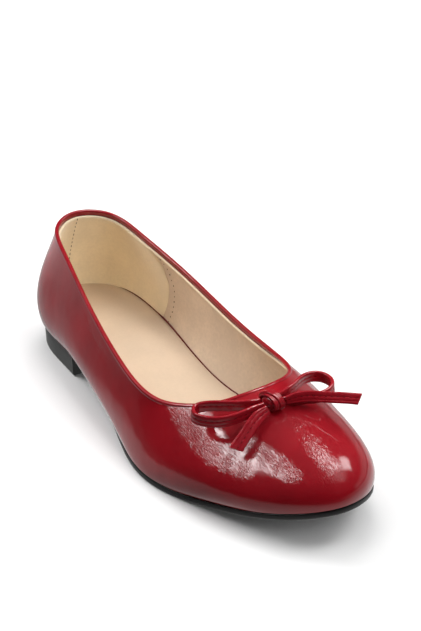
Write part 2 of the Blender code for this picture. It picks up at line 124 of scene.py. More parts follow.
# Sections round the last, from the back seam along the outer side to the toe and back along the
# inner side. Along is a share of LAST_LENGTH and across of BALL_WIDTH. The topline's height is a
# share of BACK_HEIGHT and one of INSTEP_HEIGHT. The wall leaves the feather line and meets the
# topline by two handles: out is a share of BALL_WIDTH, up and down of INSTEP_HEIGHT.
SECTION_COLUMNS = (
    "along", "across", "foot_out", "foot_up",
    "top_along", "top_across", "of_back", "of_instep", "top_out", "top_down",
)
SECTIONS = {
    "back_seam":   (0.000, 0.000, 0.070, 0.43, 0.042, 0.000, 1.000, 0.00, 0.035, 0.34),
    "heel_outer":  (0.040, -0.235, 0.070, 0.43, 0.070, -0.158, 0.970, 0.00, 0.040, 0.33),
    "seat_outer":  (0.155, -0.325, 0.075, 0.31, 0.158, -0.251, 0.900, 0.00, 0.035, 0.32),
    "shank_outer": (0.315, -0.362, 0.120, 0.22, 0.315, -0.338, 0.500, 0.29, 0.020, 0.29),
    "waist_outer": (0.455, -0.428, 0.095, 0.23, 0.470, -0.402, 0.200, 0.59, 0.015, 0.29),
    "ball_outer":  (0.640, -0.526, 0.020, 0.20, 0.612, -0.375, 0.000, 0.78, 0.045, 0.135),
    "vamp_outer":  (0.782, -0.403, 0.130, 0.265, 0.691, -0.228, 0.000, 0.89, 0.160, 0.21),
    "toe_outer":   (0.912, -0.262, 0.060, 0.30, 0.717, -0.107, 0.000, 0.97, 0.270, 0.19),
    "toe_tip":     (1.000, 0.015, 0.045, 0.43, 0.724, 0.000, 0.000, 1.00, 0.350, 0.12),
    "toe_inner":   (0.950, 0.310, 0.055, 0.44, 0.720, 0.110, 0.000, 1.00, 0.340, 0.08),
    "vamp_inner":  (0.840, 0.435, 0.052, 0.41, 0.696, 0.245, 0.000, 0.95, 0.220, 0.12),
    "ball_inner":  (0.693, 0.458, 0.045, 0.36, 0.625, 0.365, 0.000, 0.86, 0.090, 0.15),
    "waist_inner": (0.528, 0.286, 0.095, 0.29, 0.470, 0.372, 0.200, 0.63, 0.020, 0.27),
    "shank_inner": (0.380, 0.238, 0.140, 0.29, 0.312, 0.345, 0.500, 0.29, 0.012, 0.29),
    "seat_inner":  (0.172, 0.306, 0.072, 0.34, 0.152, 0.268, 0.880, 0.00, 0.035, 0.33),
    "heel_inner":  (0.035, 0.225, 0.070, 0.43, 0.060, 0.175, 0.965, 0.00, 0.037, 0.34),
}
TOE_SECTION = 8
ALL_SECTIONS = 16

# Places on the wall are given by section, counted from the back seam, and by millimetres below the
# topline. Soft folds run from one place to another: half width and depth in mm, minus for a trough.
FOLD_COLUMNS = ("section", "below", "to_section", "to_below", "half_width", "depth")
FOLDS = (
    (2.85, 5.0, 3.30, 8.5, 1.0, -0.06),
    (3.05, 9.5, 3.55, 7.5, 1.0, -0.07),
    (3.20, 12.5, 3.70, 11.5, 1.2, 0.05),
    (3.35, 4.8, 3.80, 5.2, 1.0, 0.05),
    (5.30, 1.0, 5.55, 9.0, 1.6, 0.09),
    (5.45, 6.0, 5.80, 15.0, 1.5, -0.09),
    (5.75, 14.0, 6.10, 24.0, 1.7, 0.08),
    (6.15, 22.0, 6.45, 33.0, 1.5, -0.08),
    (5.60, 8.0, 6.00, 12.0, 1.2, 0.07),
    (6.05, 15.0, 6.45, 19.0, 1.3, -0.07),
    (7.05, 27.0, 7.40, 44.0, 1.4, -0.07),
    (7.90, 44.0, 8.05, 62.0, 1.1, 0.07),
    (8.20, 24.0, 8.10, 44.0, 1.2, -0.07),
    (8.28, 40.0, 8.22, 60.0, 1.2, -0.09),
    (9.60, 12.0, 9.90, 26.0, 1.8, -0.09),
    (10.4, 6.0, 10.8, 17.0, 1.8, -0.10),
    (11.9, 6.0, 12.4, 9.0, 1.4, -0.08),
    (12.3, 11.0, 12.8, 9.0, 1.5, 0.07),
)

# Where the patent is finely crinkled: place, radius in mm and amount
CRINKLE_COLUMNS = ("section", "below", "radius", "amount")
CRINKLED = (
    (5.32, 2.0, 8.0, 0.75),
    (5.50, 6.0, 9.0, 0.85),
    (5.68, 11.5, 9.0, 0.90),
    (5.88, 17.0, 9.0, 0.95),
    (6.08, 22.0, 9.0, 0.95),
    (6.28, 27.0, 9.0, 0.90),
    (6.50, 32.0, 9.0, 0.80),
    (6.75, 38.0, 9.0, 0.70),
    (7.05, 31.0, 8.0, 0.85),
    (7.22, 38.0, 8.0, 0.95),
    (7.38, 45.0, 8.0, 1.00),
    (7.48, 52.0, 8.0, 0.80),
    (8.25, 23.0, 6.0, 0.60),
    (8.18, 31.0, 7.0, 0.80),
    (8.12, 40.0, 8.0, 1.00),
    (8.05, 48.0, 9.0, 1.00),
    (8.02, 56.0, 9.0, 1.00),
    (7.92, 62.0, 7.0, 0.80),
    (3.10, 7.0, 5.0, 0.70),
    (3.45, 8.0, 5.0, 0.70),
    (8.12, 1.5, 5.0, 1.00),
    (8.17, 6.5, 4.0, 0.80),
    (11.6, 8.0, 8.0, 0.60),
    (12.3, 9.0, 8.0, 0.70),
    (10.6, 12.0, 9.0, 0.60),
)

# Front edge of the heel lining on the inner side
HEEL_LINING_EDGE = ((13.71, 2.9), (13.56, 9.0), (13.55, 18.0), (13.64, 27.0), (13.74, 38.0), (13.80, 50.0))

# Cross-section of the folded topline binding: mm below the topline and mm out of the wall
BINDING_PROFILE = (
    (2.12, -0.12), (2.06, 0.14), (1.80, 0.32), (1.30, 0.42), (0.75, 0.36), (0.28, 0.06), (0.02, -0.45),
    (0.02, -1.02), (0.34, -1.48), (0.90, -1.72), (1.70, -1.80), (2.45, -1.80), (2.72, -1.62),
    (2.50, -1.36), (1.40, -1.22), (1.15, -0.90), (1.40, -0.66), (2.60, -0.62), (2.95, -0.48), (2.50, -0.30),
)
BEAD_DEPTH = 0.0021      # the bead's lower lip below the topline, where the patent comes out under it

# How the patent turns in under the bead: mm below the bead's lip and mm out of the wall
TURNED_IN = ((-0.10, -0.12), (0.00, -0.30), (1.00, -0.34), (2.00, -0.80))

# Cross-section of the lining's raw cut edge, in the same way
CUT_EDGE_PROFILE = (
    (2.66, -1.90), (2.52, -2.30), (2.60, -2.74), (2.95, -2.96), (3.40, -2.90), (3.66, -2.60),
    (3.40, -2.05), (3.00, -1.86),
)
LINING_CUT = 0.0027      # top of the lining below the topline

# Cross-section of the bow's folded strip, in shares of its half width and half thickness
STRIP_PROFILE = (
    (-1.00, 0.00), (-0.98, 0.42), (-0.91, 0.78), (-0.79, 0.98), (-0.66, 1.00), (-0.58, 0.90),
    (-0.52, 0.76), (-0.46, 0.90), (-0.32, 0.98), (-0.10, 0.98), (0.04, 0.90), (0.12, 0.78),
    (0.20, 0.90), (0.36, 0.99), (0.62, 1.00), (0.82, 0.92), (0.95, 0.58), (1.00, 0.00),
    (0.96, -0.55), (0.84, -0.90), (0.64, -1.00), (0.36, -0.98), (0.20, -0.90), (0.12, -0.78),
    (0.04, -0.90), (-0.14, -0.98), (-0.42, -1.00), (-0.72, -0.98), (-0.90, -0.78), (-0.98, -0.42),
)
STITCH_VALLEY = 0.12    # share of the strip's half width
VALLEY_DEPTH = 0.82     # share of its half thickness
ROLLED_THICKNESS = 0.0017  # over the strip's two rolls
PINCH_LENGTH = 0.006    # over which a strip narrows towards its ends
CUT_LENGTH = 0.004      # over which its slanting cut builds up

# Centre lines of the bow's strips from the middle of the knot, in shares of BOW_SPREAD, and the
# strip's own tilt in degrees: 90 stands on its edge, 0 lies flat
STRIP_COLUMNS = ("forward", "across", "up", "lean")
BOW_STRIPS = {
    "bow_loop_outer": (
        (-0.056, -0.153, -0.006, 90),
        (-0.085, -0.265, -0.020, 90),
        (-0.190, -0.420, -0.045, 90),
        (-0.360, -0.590, -0.078, 90),
        (-0.500, -0.750, -0.105, 88),
        (-0.548, -0.900, -0.130, 85),
        (-0.445, -1.000, -0.150, 82),
        (-0.275, -0.955, -0.155, 82),
        (-0.095, -0.780, -0.138, 85),
        (0.005, -0.540, -0.092, 88),
        (0.028, -0.310, -0.048, 90),
        (0.030, -0.153, -0.025, 90),
    ),
    "bow_loop_inner": (
        (-0.025, 0.153, 0.010, 90),
        (-0.020, 0.300, 0.045, 90),
        (-0.095, 0.490, 0.065, 90),
        (-0.172, 0.700, 0.060, 90),
        (-0.135, 0.855, 0.053, 90),
        (0.010, 0.940, 0.040, 92),
        (0.190, 0.890, 0.022, 95),
        (0.258, 0.710, -0.012, 97),
        (0.194, 0.515, -0.028, 95),
        (0.112, 0.328, -0.033, 92),
        (0.050, 0.153, -0.026, 90),
    ),
    "bow_tail_outer": (
        (0.132, -0.156, -0.028, -62),
        (0.168, -0.350, -0.085, -48),
        (0.232, -0.545, -0.198, -38),
        (0.300, -0.780, -0.375, -36),
    ),
    "bow_tail_inner": (
        (0.125, 0.153, 0.018, 84),
        (0.200, 0.345, 0.050, 72),
        (0.390, 0.595, 0.066, 58),
        (0.556, 0.820, 0.062, 52),
        (0.695, 0.995, 0.056, 48),
    ),
}

# Steps along each strip, the slant of its cut end, how far it is pinched at the knot, its width at
# its far end and its whole width, all as shares of STRIP_WIDTH
STRIP_MAKE_COLUMNS = ("steps", "slant", "pinch", "far_end", "wide")
STRIP_MAKE = {
    "bow_loop_outer": (150, 0.0, 0.76, 0.76, 1.12),
    "bow_loop_inner": (150, 0.0, 0.76, 0.76, 1.14),
    "bow_tail_outer": (60, -0.30, 0.74, 1.06, 1.20),
    "bow_tail_inner": (60, 0.30, 0.78, 1.02, 1.08),
}


def named(columns, row):
    """One row of a table, with its values under the names of the columns."""
    return SimpleNamespace(**dict(zip(columns, row)))


def eased(share):
    """Smooth step from 0 to 1."""
    share = np.clip(share, 0.0, 1.0)
    return share * share * (3.0 - 2.0 * share)


def raised_heel(x):
    """1 over the seat, falling to 0 at the tread of the forepart."""
    return eased((TREAD_BACK - x / LAST_LENGTH) / (TREAD_BACK - SEAT_FRONT))


def feather_height(x):
    """Underside of the upper over the floor."""
    at_ball = SOLE_THICKNESS + CLEARANCE
    at_seat = HEEL_HEIGHT + SEAT_SOLE_THICKNESS + 2.0 * CLEARANCE
    towards_tip = np.clip((x / LAST_LENGTH - TREAD_FRONT) / (1.0 - TREAD_FRONT), 0.0, None)
    return at_ball + (at_seat - at_ball) * raised_heel(x) + TOE_SPRING * towards_tip ** SPRING_CURVE


def sole_thickness(x):
    """Thickness of the outsole, which is less under the seat."""
    return SOLE_THICKNESS + (SEAT_SOLE_THICKNESS - SOLE_THICKNESS) * raised_heel(x)


def closed_spline(knots, values, period, at):
    """Smooth closed curve through values at knots, read at the places in at."""
    gap = np.diff(np.append(knots, knots[0] + period))
    rise = np.roll(values, -1, axis=0) - values
    count = len(knots)
    system = np.zeros((count, count))
    right = np.zeros_like(values)
    for i in range(count):
        system[i, i - 1] += gap[i - 1]
        system[i, i] += 2.0 * (gap[i - 1] + gap[i])
        system[i, (i + 1) % count] += gap[i]
        right[i] = 6.0 * (rise[i] / gap[i] - rise[i - 1] / gap[i - 1])
    bend = np.linalg.solve(system, right)
    first = np.clip(np.searchsorted(knots, at, side="right") - 1, 0, count - 1)
    second = (first + 1) % count
    step = gap[first][:, None]
    b = ((at - knots[first]) / gap[first])[:, None]
    a = 1.0 - b
    swing = (a ** 3 - a) * bend[first] + (b ** 3 - b) * bend[second]
    return a * values[first] + b * values[second] + swing * step * step / 6.0


def open_spline(points, count):
    """Smooth curve through rows of points, read at count even steps of its length."""
    step = np.linalg.norm(np.diff(points[:, :3], axis=0), axis=1)
    knots = np.concatenate([[0.0], np.cumsum(step)])
    size = len(knots)
    system = np.eye(size)
    right = np.zeros_like(points)
    for i in range(1, size - 1):
        system[i, i - 1:i + 2] = (step[i - 1], 2.0 * (step[i - 1] + step[i]), step[i])
        fall = (points[i] - points[i - 1]) / step[i - 1]
        right[i] = 6.0 * ((points[i + 1] - points[i]) / step[i] - fall)
    bend = np.linalg.solve(system, right)
    at = np.linspace(0.0, knots[-1], count)
    first = np.clip(np.searchsorted(knots, at, side="right") - 1, 0, size - 2)
    gap = step[first][:, None]
    b = ((at - knots[first]) / step[first])[:, None]
    a = 1.0 - b
    swing = (a ** 3 - a) * bend[first] + (b ** 3 - b) * bend[first + 1]
    return a * points[first] + b * points[first + 1] + swing * gap * gap / 6.0


def outward(curve):
    """Level outward normals of a closed curve seen from above."""
    along = np.roll(curve[:, :2], -1, axis=0) - np.roll(curve[:, :2], 1, axis=0)
    along /= np.linalg.norm(along, axis=1)[:, None]
    normal = np.zeros_like(curve)
    normal[:, 0] = -along[:, 1]
    normal[:, 1] = along[:, 0]
    x, y = curve[:, 0], curve[:, 1]
    turn = np.sum(x * np.roll(y, -1) - y * np.roll(x, -1))
    return -normal if turn > 0 else normal


class Wall:
    """The outer surface of the upper: a curve at each station, from the feather line to the topline."""

    def __init__(self):
        table = np.array(list(SECTIONS.values()))
        column = {name: table[:, i] for i, name in enumerate(SECTION_COLUMNS)}
        top_x = column["top_along"] * LAST_LENGTH
        rise = column["of_back"] * BACK_HEIGHT + column["of_instep"] * INSTEP_HEIGHT
        values = np.stack([
            column["along"] * LAST_LENGTH,
            column["across"] * BALL_WIDTH,
            column["foot_out"] * BALL_WIDTH,
            column["foot_up"] * INSTEP_HEIGHT,
            top_x,
            column["top_across"] * BALL_WIDTH,
            feather_height(top_x) + rise,
            column["top_out"] * BALL_WIDTH,
            column["top_down"] * INSTEP_HEIGHT,
        ], axis=1)
        gap = np.linalg.norm(np.roll(values[:, :2], -1, axis=0) - values[:, :2], axis=1)
        knots = np.concatenate([[0.0], np.cumsum(gap)[:-1]])
        shares = np.arange(STATIONS_PER_ROW) / STATIONS_PER_ROW
        at = (knots[:, None] + gap[:, None] * shares[None, :]).ravel()
        self.count = len(at)
        read = closed_spline(knots, values, gap.sum(), at)
        feather = np.stack([read[:, 0], read[:, 1], feather_height(read[:, 0])], axis=1)
        topline = read[:, 4:7]
        self.feather = feather
        self.topline = topline
        self.foot_handle = feather + outward(feather) * read[:, 2:3] + UP * read[:, 3:4]
        self.top_handle = topline + outward(topline) * read[:, 7:8] - UP * read[:, 8:9]
        self.grid = np.linspace(0.0, 1.0, CURVE_STEPS + 1)
        self.curves = np.stack([self.at(np.full(self.count, v)) for v in self.grid])
        steps = np.linalg.norm(np.diff(self.curves, axis=0), axis=2)
        self.run = np.concatenate([np.zeros((1, self.count)), np.cumsum(steps, axis=0)])

    def at(self, v):
        """Points at shares v of each station's curve."""
        v = v[:, None]
        u = 1.0 - v
        return (u ** 3 * self.feather + 3 * u * u * v * self.foot_handle
                + 3 * u * v * v * self.top_handle + v ** 3 * self.topline)

    def normals(self, v):
        """Outward normals of the surface at shares v."""
        point = self.at(v)
        around = np.roll(point, -1, axis=0) - np.roll(point, 1, axis=0)
        up = self.at(np.minimum(v + NORMAL_STEP, 1.0)) - self.at(np.maximum(v - NORMAL_STEP, 0.0))
        normal = np.cross(around, up)
        return normal / np.linalg.norm(normal, axis=1)[:, None]

    def run_at(self, v):
        """Length along each curve from the feather line to the shares v."""
        return np.array([np.interp(v[i], self.grid, self.run[:, i]) for i in range(self.count)])

    def depth_at(self, v):
        """Distance of the shares v below the topline."""
        return self.run[-1] - self.run_at(v)

    def share_of_run(self, run):
        """Share of each curve at a length along it from the feather line."""
        return np.array([np.interp(run[i], self.run[:, i], self.grid) for i in range(self.count)])

    def share_below_top(self, distance):
        """Share of each curve at a distance down from the topline."""
        return self.share_of_run(self.run[-1] - distance)

    def share_at_height(self, height):
        """Share of each curve at a height over the feather line."""
        rise = self.curves[:, :, 2] - self.feather[:, 2]
        return np.array([np.interp(height, rise[:, i], self.grid) for i in range(self.count)])

    def offset(self, v, out):
        """Points at shares v, moved out along the normal."""
        return self.at(v) + self.normals(v) * out

    def below_top(self, distance, out):
        """Points at a distance below the topline, moved out along the normal."""
        return self.offset(self.share_below_top(distance), out)

    def inset(self, distance):
        """The feather line moved inwards, on the surface that the upper's underside lies on."""
        line = self.feather - outward(self.feather) * distance
        line[:, 2] = feather_height(line[:, 0])
        return line

    def levels(self, lowest, highest, count):
        """Shares of each curve at even steps of its length between two shares."""
        low = self.run_at(lowest)
        high = self.run_at(highest)
        return [self.share_of_run(low + (high - low) * k / count) for k in range(count + 1)]

    def spot(self, section, below, out=0.0):
        """One point and its normal, by section and distance below the topline."""
        place = (section % ALL_SECTIONS) * STATIONS_PER_ROW
        first = int(place)
        second = (first + 1) % self.count
        share = place - first
        v = self.share_below_top(below)
        point = self.offset(v, out)
        normal = self.normals(v)
        here = point[first] * (1.0 - share) + point[second] * share
        facing = normal[first] * (1.0 - share) + normal[second] * share
        return here, facing / np.linalg.norm(facing)


def node(tree, kind, settings=None, **sockets):
    """A new node. Settings are its own options. Sockets are set by name, or linked if given a socket."""
    made = tree.nodes.new(kind)
    for name, value in (settings or {}).items():
        setattr(made, name, value)
    for name, value in sockets.items():
        socket = made.inputs[name.replace("_", " ")]
        if isinstance(value, bpy.types.NodeSocket):
            tree.links.new(value, socket)
        else:
            socket.default_value = value
    return made


def calculate(tree, operation, first, second=0.0):
    """The result of one sum on two values or sockets."""
    made = tree.nodes.new("ShaderNodeMath")
    made.operation = operation
    for socket, value in zip(made.inputs, (first, second)):
        if isinstance(value, bpy.types.NodeSocket):
            tree.links.new(value, socket)
        else:
            socket.default_value = value
    return made.outputs[0]


def between(tree, value, low, high):
    """A value spread from low and high to 0 and 1, with soft ends."""
    made = node(
        tree, "ShaderNodeMapRange", {"interpolation_type": "SMOOTHSTEP"},
        Value=value, From_Min=low, From_Max=high,
    )
    return made.outputs["Result"]


def mixed(tree, share, first, second):
    """Two colours mixed by a share."""
    made = tree.nodes.new("ShaderNodeMix")
    made.data_type = "RGBA"
    for index, value in ((0, share), (6, first), (7, second)):
        if isinstance(value, bpy.types.NodeSocket):
            tree.links.new(value, made.inputs[index])
        else:
            made.inputs[index].default_value = value
    return made.outputs[2]


def raised(tree, height, distance, under=None):
    """A bump of the given height laid on what is under it."""
    made = node(tree, "ShaderNodeBump", Height=height, Distance=distance, Strength=1.0)
    if under is not None:
        tree.links.new(under, made.inputs["Normal"])
    return made.outputs["Normal"]


def toned(color, factor):
    """A colour made lighter or darker, as linear RGB with full alpha."""
    return tuple(min(1.0, channel * factor) for channel in color[:3]) + (1.0,)


def new_finish(name, color, roughness, coat=0.0, coat_roughness=0.03, sheen=0.0, specular=0.5):
    """A material with its plain numbers on the shader's own sockets."""
    finish = bpy.data.materials.new(name)
    finish.use_nodes = True
    finish.diffuse_color = toned(color, 1.0)
    tree = finish.node_tree
    shader = tree.nodes["Principled BSDF"]
    shader.inputs["Base Color"].default_value = toned(color, 1.0)
    shader.inputs["Roughness"].default_value = roughness
    shader.inputs["Coat Weight"].default_value = coat
    shader.inputs["Coat Roughness"].default_value = coat_roughness
    shader.inputs["Sheen Weight"].default_value = sheen
    shader.inputs["Specular IOR Level"].default_value = specular
    return finish, tree, shader


def object_place(tree):
    """Coordinates of the piece itself."""
    return node(tree, "ShaderNodeTexCoord").outputs["Object"]


def patent_finish(
        name, color, swell_scale=110.0, swell_depth=0.00022, coat_roughness=0.035, crinkle_depth=0.0):
    """Red patent leather: a thick clear coat, a faint unevenness and fine crinkles where it is creased."""
    finish, tree, shader = new_finish(name, color, 0.50, 1.0, coat_roughness, specular=0.10)
    place = object_place(tree)
    cloud = node(tree, "ShaderNodeTexNoise", Vector=place, Scale=38.0, Detail=3.0)
    tone = between(tree, cloud.outputs["Fac"], 0.30, 0.70)
    shade = mixed(tree, tone, toned(color, 0.86), toned(color, 1.08))
    tree.links.new(shade, shader.inputs["Base Color"])
    swell = node(tree, "ShaderNodeTexNoise", Vector=place, Scale=swell_scale, Detail=1.0)
    normal = raised(tree, swell.outputs["Fac"], swell_depth)
    peel = node(tree, "ShaderNodeTexNoise", Vector=place, Scale=620.0, Detail=1.5)
    normal = raised(tree, peel.outputs["Fac"], 0.000016, normal)
    if crinkle_depth:
        normal = crinkles(tree, crinkle_depth, normal)
    tree.links.new(normal, shader.inputs["Normal"])
    tree.links.new(normal, shader.inputs["Coat Normal"])
    return finish


def crinkles(tree, depth, under):
    """Fine ridges that run down the wall, where the piece's crinkle attribute calls for them."""
    mask = node(tree, "ShaderNodeAttribute", {"attribute_name": "crinkle"}).outputs["Fac"]
    sheet = node(tree, "ShaderNodeUVMap", {"uv_map": "wall"}).outputs["UV"]
    stretched = node(
        tree, "ShaderNodeMapping", Vector=sheet, Rotation=(0.0, 0.0, 0.12), Scale=(1.0, 0.40, 1.0),
    ).outputs["Vector"]
    grain = node(tree, "ShaderNodeTexNoise", Vector=stretched, Scale=2000.0, Detail=2.0, Distortion=0.5)
    folds = node(tree, "ShaderNodeTexNoise", Vector=stretched, Scale=760.0, Detail=2.0, Distortion=0.8)
    ridge = calculate(tree, "ABSOLUTE", calculate(tree, "SUBTRACT", folds.outputs["Fac"], 0.5))
    ridge = calculate(tree, "MULTIPLY", ridge, 2.6)
    height = calculate(tree, "ADD", calculate(tree, "MULTIPLY", grain.outputs["Fac"], 0.55), ridge)
    return raised(tree, calculate(tree, "MULTIPLY", height, mask), depth, under)


def lining_finish(
        name, color, grain_scale=900.0, grain_depth=0.00003, sheen=0.1, roughness=0.62, blotch=0.12):
    """Soft unpolished leather with a fine grain and a slightly uneven colour."""
    finish, tree, shader = new_finish(name, color, roughness, sheen=sheen, specular=0.3)
    place = object_place(tree)
    cloud = node(tree, "ShaderNodeTexNoise", Vector=place, Scale=55.0, Detail=4.0)
    speck = node(tree, "ShaderNodeTexNoise", Vector=place, Scale=700.0, Detail=2.0)
    tone = calculate(tree, "MULTIPLY", cloud.outputs["Fac"], 0.7)
    tone = calculate(tree, "ADD", tone, calculate(tree, "MULTIPLY", speck.outputs["Fac"], 0.3))
    tone = between(tree, tone, 0.32, 0.68)
    shade = mixed(tree, tone, toned(color, 1.0 - blotch), toned(color, 1.0 + blotch / 2))
    tree.links.new(shade, shader.inputs["Base Color"])
    pores = node(tree, "ShaderNodeTexVoronoi", {"feature": "SMOOTH_F1"}, Vector=place, Scale=grain_scale)
    normal = raised(tree, pores.outputs["Distance"], grain_depth)
    tree.links.new(normal, shader.inputs["Normal"])
    return finish


def rubber_finish(name, color, roughness, scuff=0.25):
    """Dark moulded sole material with faint rubbing along its edge."""
    finish, tree, shader = new_finish(name, color, roughness, specular=0.25)
    place = object_place(tree)
    rub = node(tree, "ShaderNodeTexNoise", Vector=place, Scale=160.0, Detail=5.0, Roughness=0.65)
    share = between(tree, rub.outputs["Fac"], 0.45, 0.75)
    shade = mixed(tree, share, toned(color, 1.0), toned(color, 1.0 + scuff * 3.0))
    tree.links.new(shade, shader.inputs["Base Color"])
    grit = node(tree, "ShaderNodeTexNoise", Vector=place, Scale=1500.0, Detail=2.0)
    normal = raised(tree, grit.outputs["Fac"], 0.00003)
    tree.links.new(normal, shader.inputs["Normal"])
    return finish


def thread_finish(name, color):
    """Twisted thread: a fine slanting cord over a soft body, with painted shade in the cord's grooves and a
    painted highlight on its ridges.
    """
    finish, tree, shader = new_finish(name, color, 0.7, specular=0.1)
    place = object_place(tree)
    turned = node(tree, "ShaderNodeMapping", Vector=place, Rotation=(0.4, 0.7, 0.6))
    twist_and_painted_shade = node(tree, "ShaderNodeTexWave", Vector=turned.outputs["Vector"], Scale=900.0, Distortion=1.0)
    # The colour follows the same wave as the bump: painted shade in the grooves and a painted highlight on
    # the ridges.
    shade = mixed(tree, twist_and_painted_shade.outputs["Fac"], toned(color, 0.75), toned(color, 1.15))
    tree.links.new(shade, shader.inputs["Base Color"])
    normal = raised(tree, twist_and_painted_shade.outputs["Fac"], 0.00005)
    tree.links.new(normal, shader.inputs["Normal"])
    return finish


def ring_faces(levels, count, closed):
    """Faces of rings joined level by level, and the level and station of each corner."""
    faces = []
    corners = []
    for level in range(levels if closed else levels - 1):
        above = (level + 1) % levels
        for i in range(count):
            j = (i + 1) % count
            faces.append((level * count + i, level * count + j, above * count + j, above * count + i))
            corners += [(level, i), (level, i + 1), (above, i + 1), (above, i)]
    return faces, np.array(corners)


def grid_faces(rows, columns):
    """Faces of a grid of points, row by row."""
    faces = []
    for r in range(rows - 1):
        for c in range(columns - 1):
            a = r * columns + c
            faces.append((a, a + 1, a + columns + 1, a + columns))
    return faces


def make_piece(name, points, faces, finish, stands_for=(), sharp=None):
    """A named piece in the frame, facing outwards, with the solids it stands for."""
    mesh = bpy.data.meshes.new(name)
    moved = np.asarray(points) + TO_FRAME
    mesh.from_pydata([tuple(map(float, p)) for p in moved], [], faces)
    if enclosed_volume(mesh) < 0:
        mesh.flip_normals()
    mesh.shade_smooth()
    if sharp is not None:
        mesh.set_sharp_from_angle(angle=math.radians(sharp))
    mesh.materials.append(finish)
    return take_in(name, mesh, stands_for)


def take_in(name, mesh, stands_for=()):
    """Puts a finished mesh in the scene as a piece of the shoe."""
    piece = bpy.data.objects.new(name, mesh)
    bpy.context.scene.collection.objects.link(piece)
    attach(piece, "root")
    if stands_for:
        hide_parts(*stands_for)
    return piece


def enclosed_volume(mesh):
    """Volume inside a mesh, which comes out negative where its faces look inwards."""
    mesh.calc_loop_triangles()
    corners = np.zeros(len(mesh.vertices) * 3)
    mesh.vertices.foreach_get("co", corners)
    corners = corners.reshape(-1, 3)
    index = np.zeros(len(mesh.loop_triangles) * 3, dtype=int)
    mesh.loop_triangles.foreach_get("vertices", index)
    a, b, c = (corners[index[k::3]] for k in range(3))
    return float(np.sum(a * np.cross(b, c)) / 6.0)


def map_sheet(mesh, name, corners, around, down):
    """Gives a ring body a UV map in metres: around each ring, and down from the topline."""
    layer = mesh.uv_layers.new(name=name)
    level, station = corners[:, 0], corners[:, 1]
    flat = np.stack([around[level, station], down[level, station]], axis=1)
    layer.data.foreach_set("uv", flat.ravel())


def arc_round(rings):
    """Length round each ring, counted from the toe, with the first station again at the end."""
    whole = np.concatenate([rings, rings[:, :1]], axis=1)
    step = np.linalg.norm(np.diff(whole, axis=1), axis=2)
    run = np.concatenate([np.zeros((len(rings), 1)), np.cumsum(step, axis=1)], axis=1)
    return run - run[:, [TOE_SECTION * STATIONS_PER_ROW]]


def nearness(points, first, last):
    """Distance of each point from a straight line between two places, and the share along it."""
    line = last - first
    share = np.clip((points - first) @ line / (line @ line), 0.0, 1.0)
    foot = first + share[..., None] * line
    return np.linalg.norm(points - foot, axis=-1), share


def folded(wall, rings, normals):
    """The rings with the soft folds pressed in."""
    lift = np.zeros(rings.shape[:2])
    for fold in (named(FOLD_COLUMNS, row) for row in FOLDS):
        first, _ = wall.spot(fold.section, fold.below / 1000.0)
        last, _ = wall.spot(fold.to_section, fold.to_below / 1000.0)
        away, share = nearness(rings, first, last)
        hill = np.exp(-(away / (fold.half_width / 1000.0)) ** 2)
        taper = eased(share * 4.0) * eased((1.0 - share) * 4.0) * 0.75 + 0.25
        lift += fold.depth / 1000.0 * hill * taper
    return rings + normals * lift[..., None]


def crinkle_amount(wall, points):
    """How crinkled the patent is at each point, from 0 to 1."""
    amount = np.zeros(len(points))
    for patch in (named(CRINKLE_COLUMNS, row) for row in CRINKLED):
        centre, _ = wall.spot(patch.section, patch.below / 1000.0)
        away = np.linalg.norm(points - centre, axis=1) / (patch.radius / 1000.0)
        amount = np.maximum(amount, patch.amount * (1.0 - eased(away)))
    return amount


def build_upper(wall, sizes, colours):
    """The patent outside, from under the insole over the outside to the edge in the binding."""
    line = wall.share_below_top(BEAD_DEPTH)
    foot = np.zeros(wall.count)
    outside = wall.levels(foot, line, UPPER_LEVELS)
    rings = np.stack([wall.at(v) for v in outside])
    normals = np.stack([wall.normals(v) for v in outside])
    rings = folded(wall, rings, normals)
    inside = wall.levels(foot + 0.02, wall.share_below_top(BEAD_DEPTH + 0.0030), HIDDEN_LEVELS)[::-1]
    below = [wall.inset(LASTED_MARGIN), wall.inset(0.0010)]
    over = [wall.below_top(BEAD_DEPTH + under / 1000.0, out / 1000.0) for under, out in TURNED_IN]
    over += [wall.offset(v, -PATENT_THICKNESS - 0.0001) for v in inside]
    margin = UP * PATENT_THICKNESS
    over += [wall.inset(PATENT_THICKNESS + 0.0004) + margin, wall.inset(LASTED_MARGIN) + margin]
    rings = np.concatenate([np.stack(below), rings, np.stack(over)])
    faces, corners = ring_faces(len(rings), wall.count, True)
    points = rings.reshape(-1, 3)
    finish = patent_finish("patent_upper", colours.patent, crinkle_depth=sizes.crinkle_depth)
    piece = make_piece("patent_upper", points, faces, finish, ["upper"], sharp=50)
    down = np.zeros((len(rings), wall.count + 1))
    first = len(below)
    for k, v in enumerate(outside):
        down[first + k, :-1] = wall.depth_at(v)
    down[first + len(outside):] = down[first + len(outside) - 1]
    down[:first] = down[first]
    down[:, -1] = down[:, 0]
    map_sheet(piece.data, "wall", corners, arc_round(rings), down)
    crinkle = piece.data.attributes.new("crinkle", "FLOAT", "POINT")
    crinkle.data.foreach_set("value", crinkle_amount(wall, points))
    return piece


def lining_out(below):
    """How far in the lining's face lies: it thickens towards its cut edge under the binding."""
    return -WALL - 0.0007 * eased((0.0085 - below) / 0.0055)


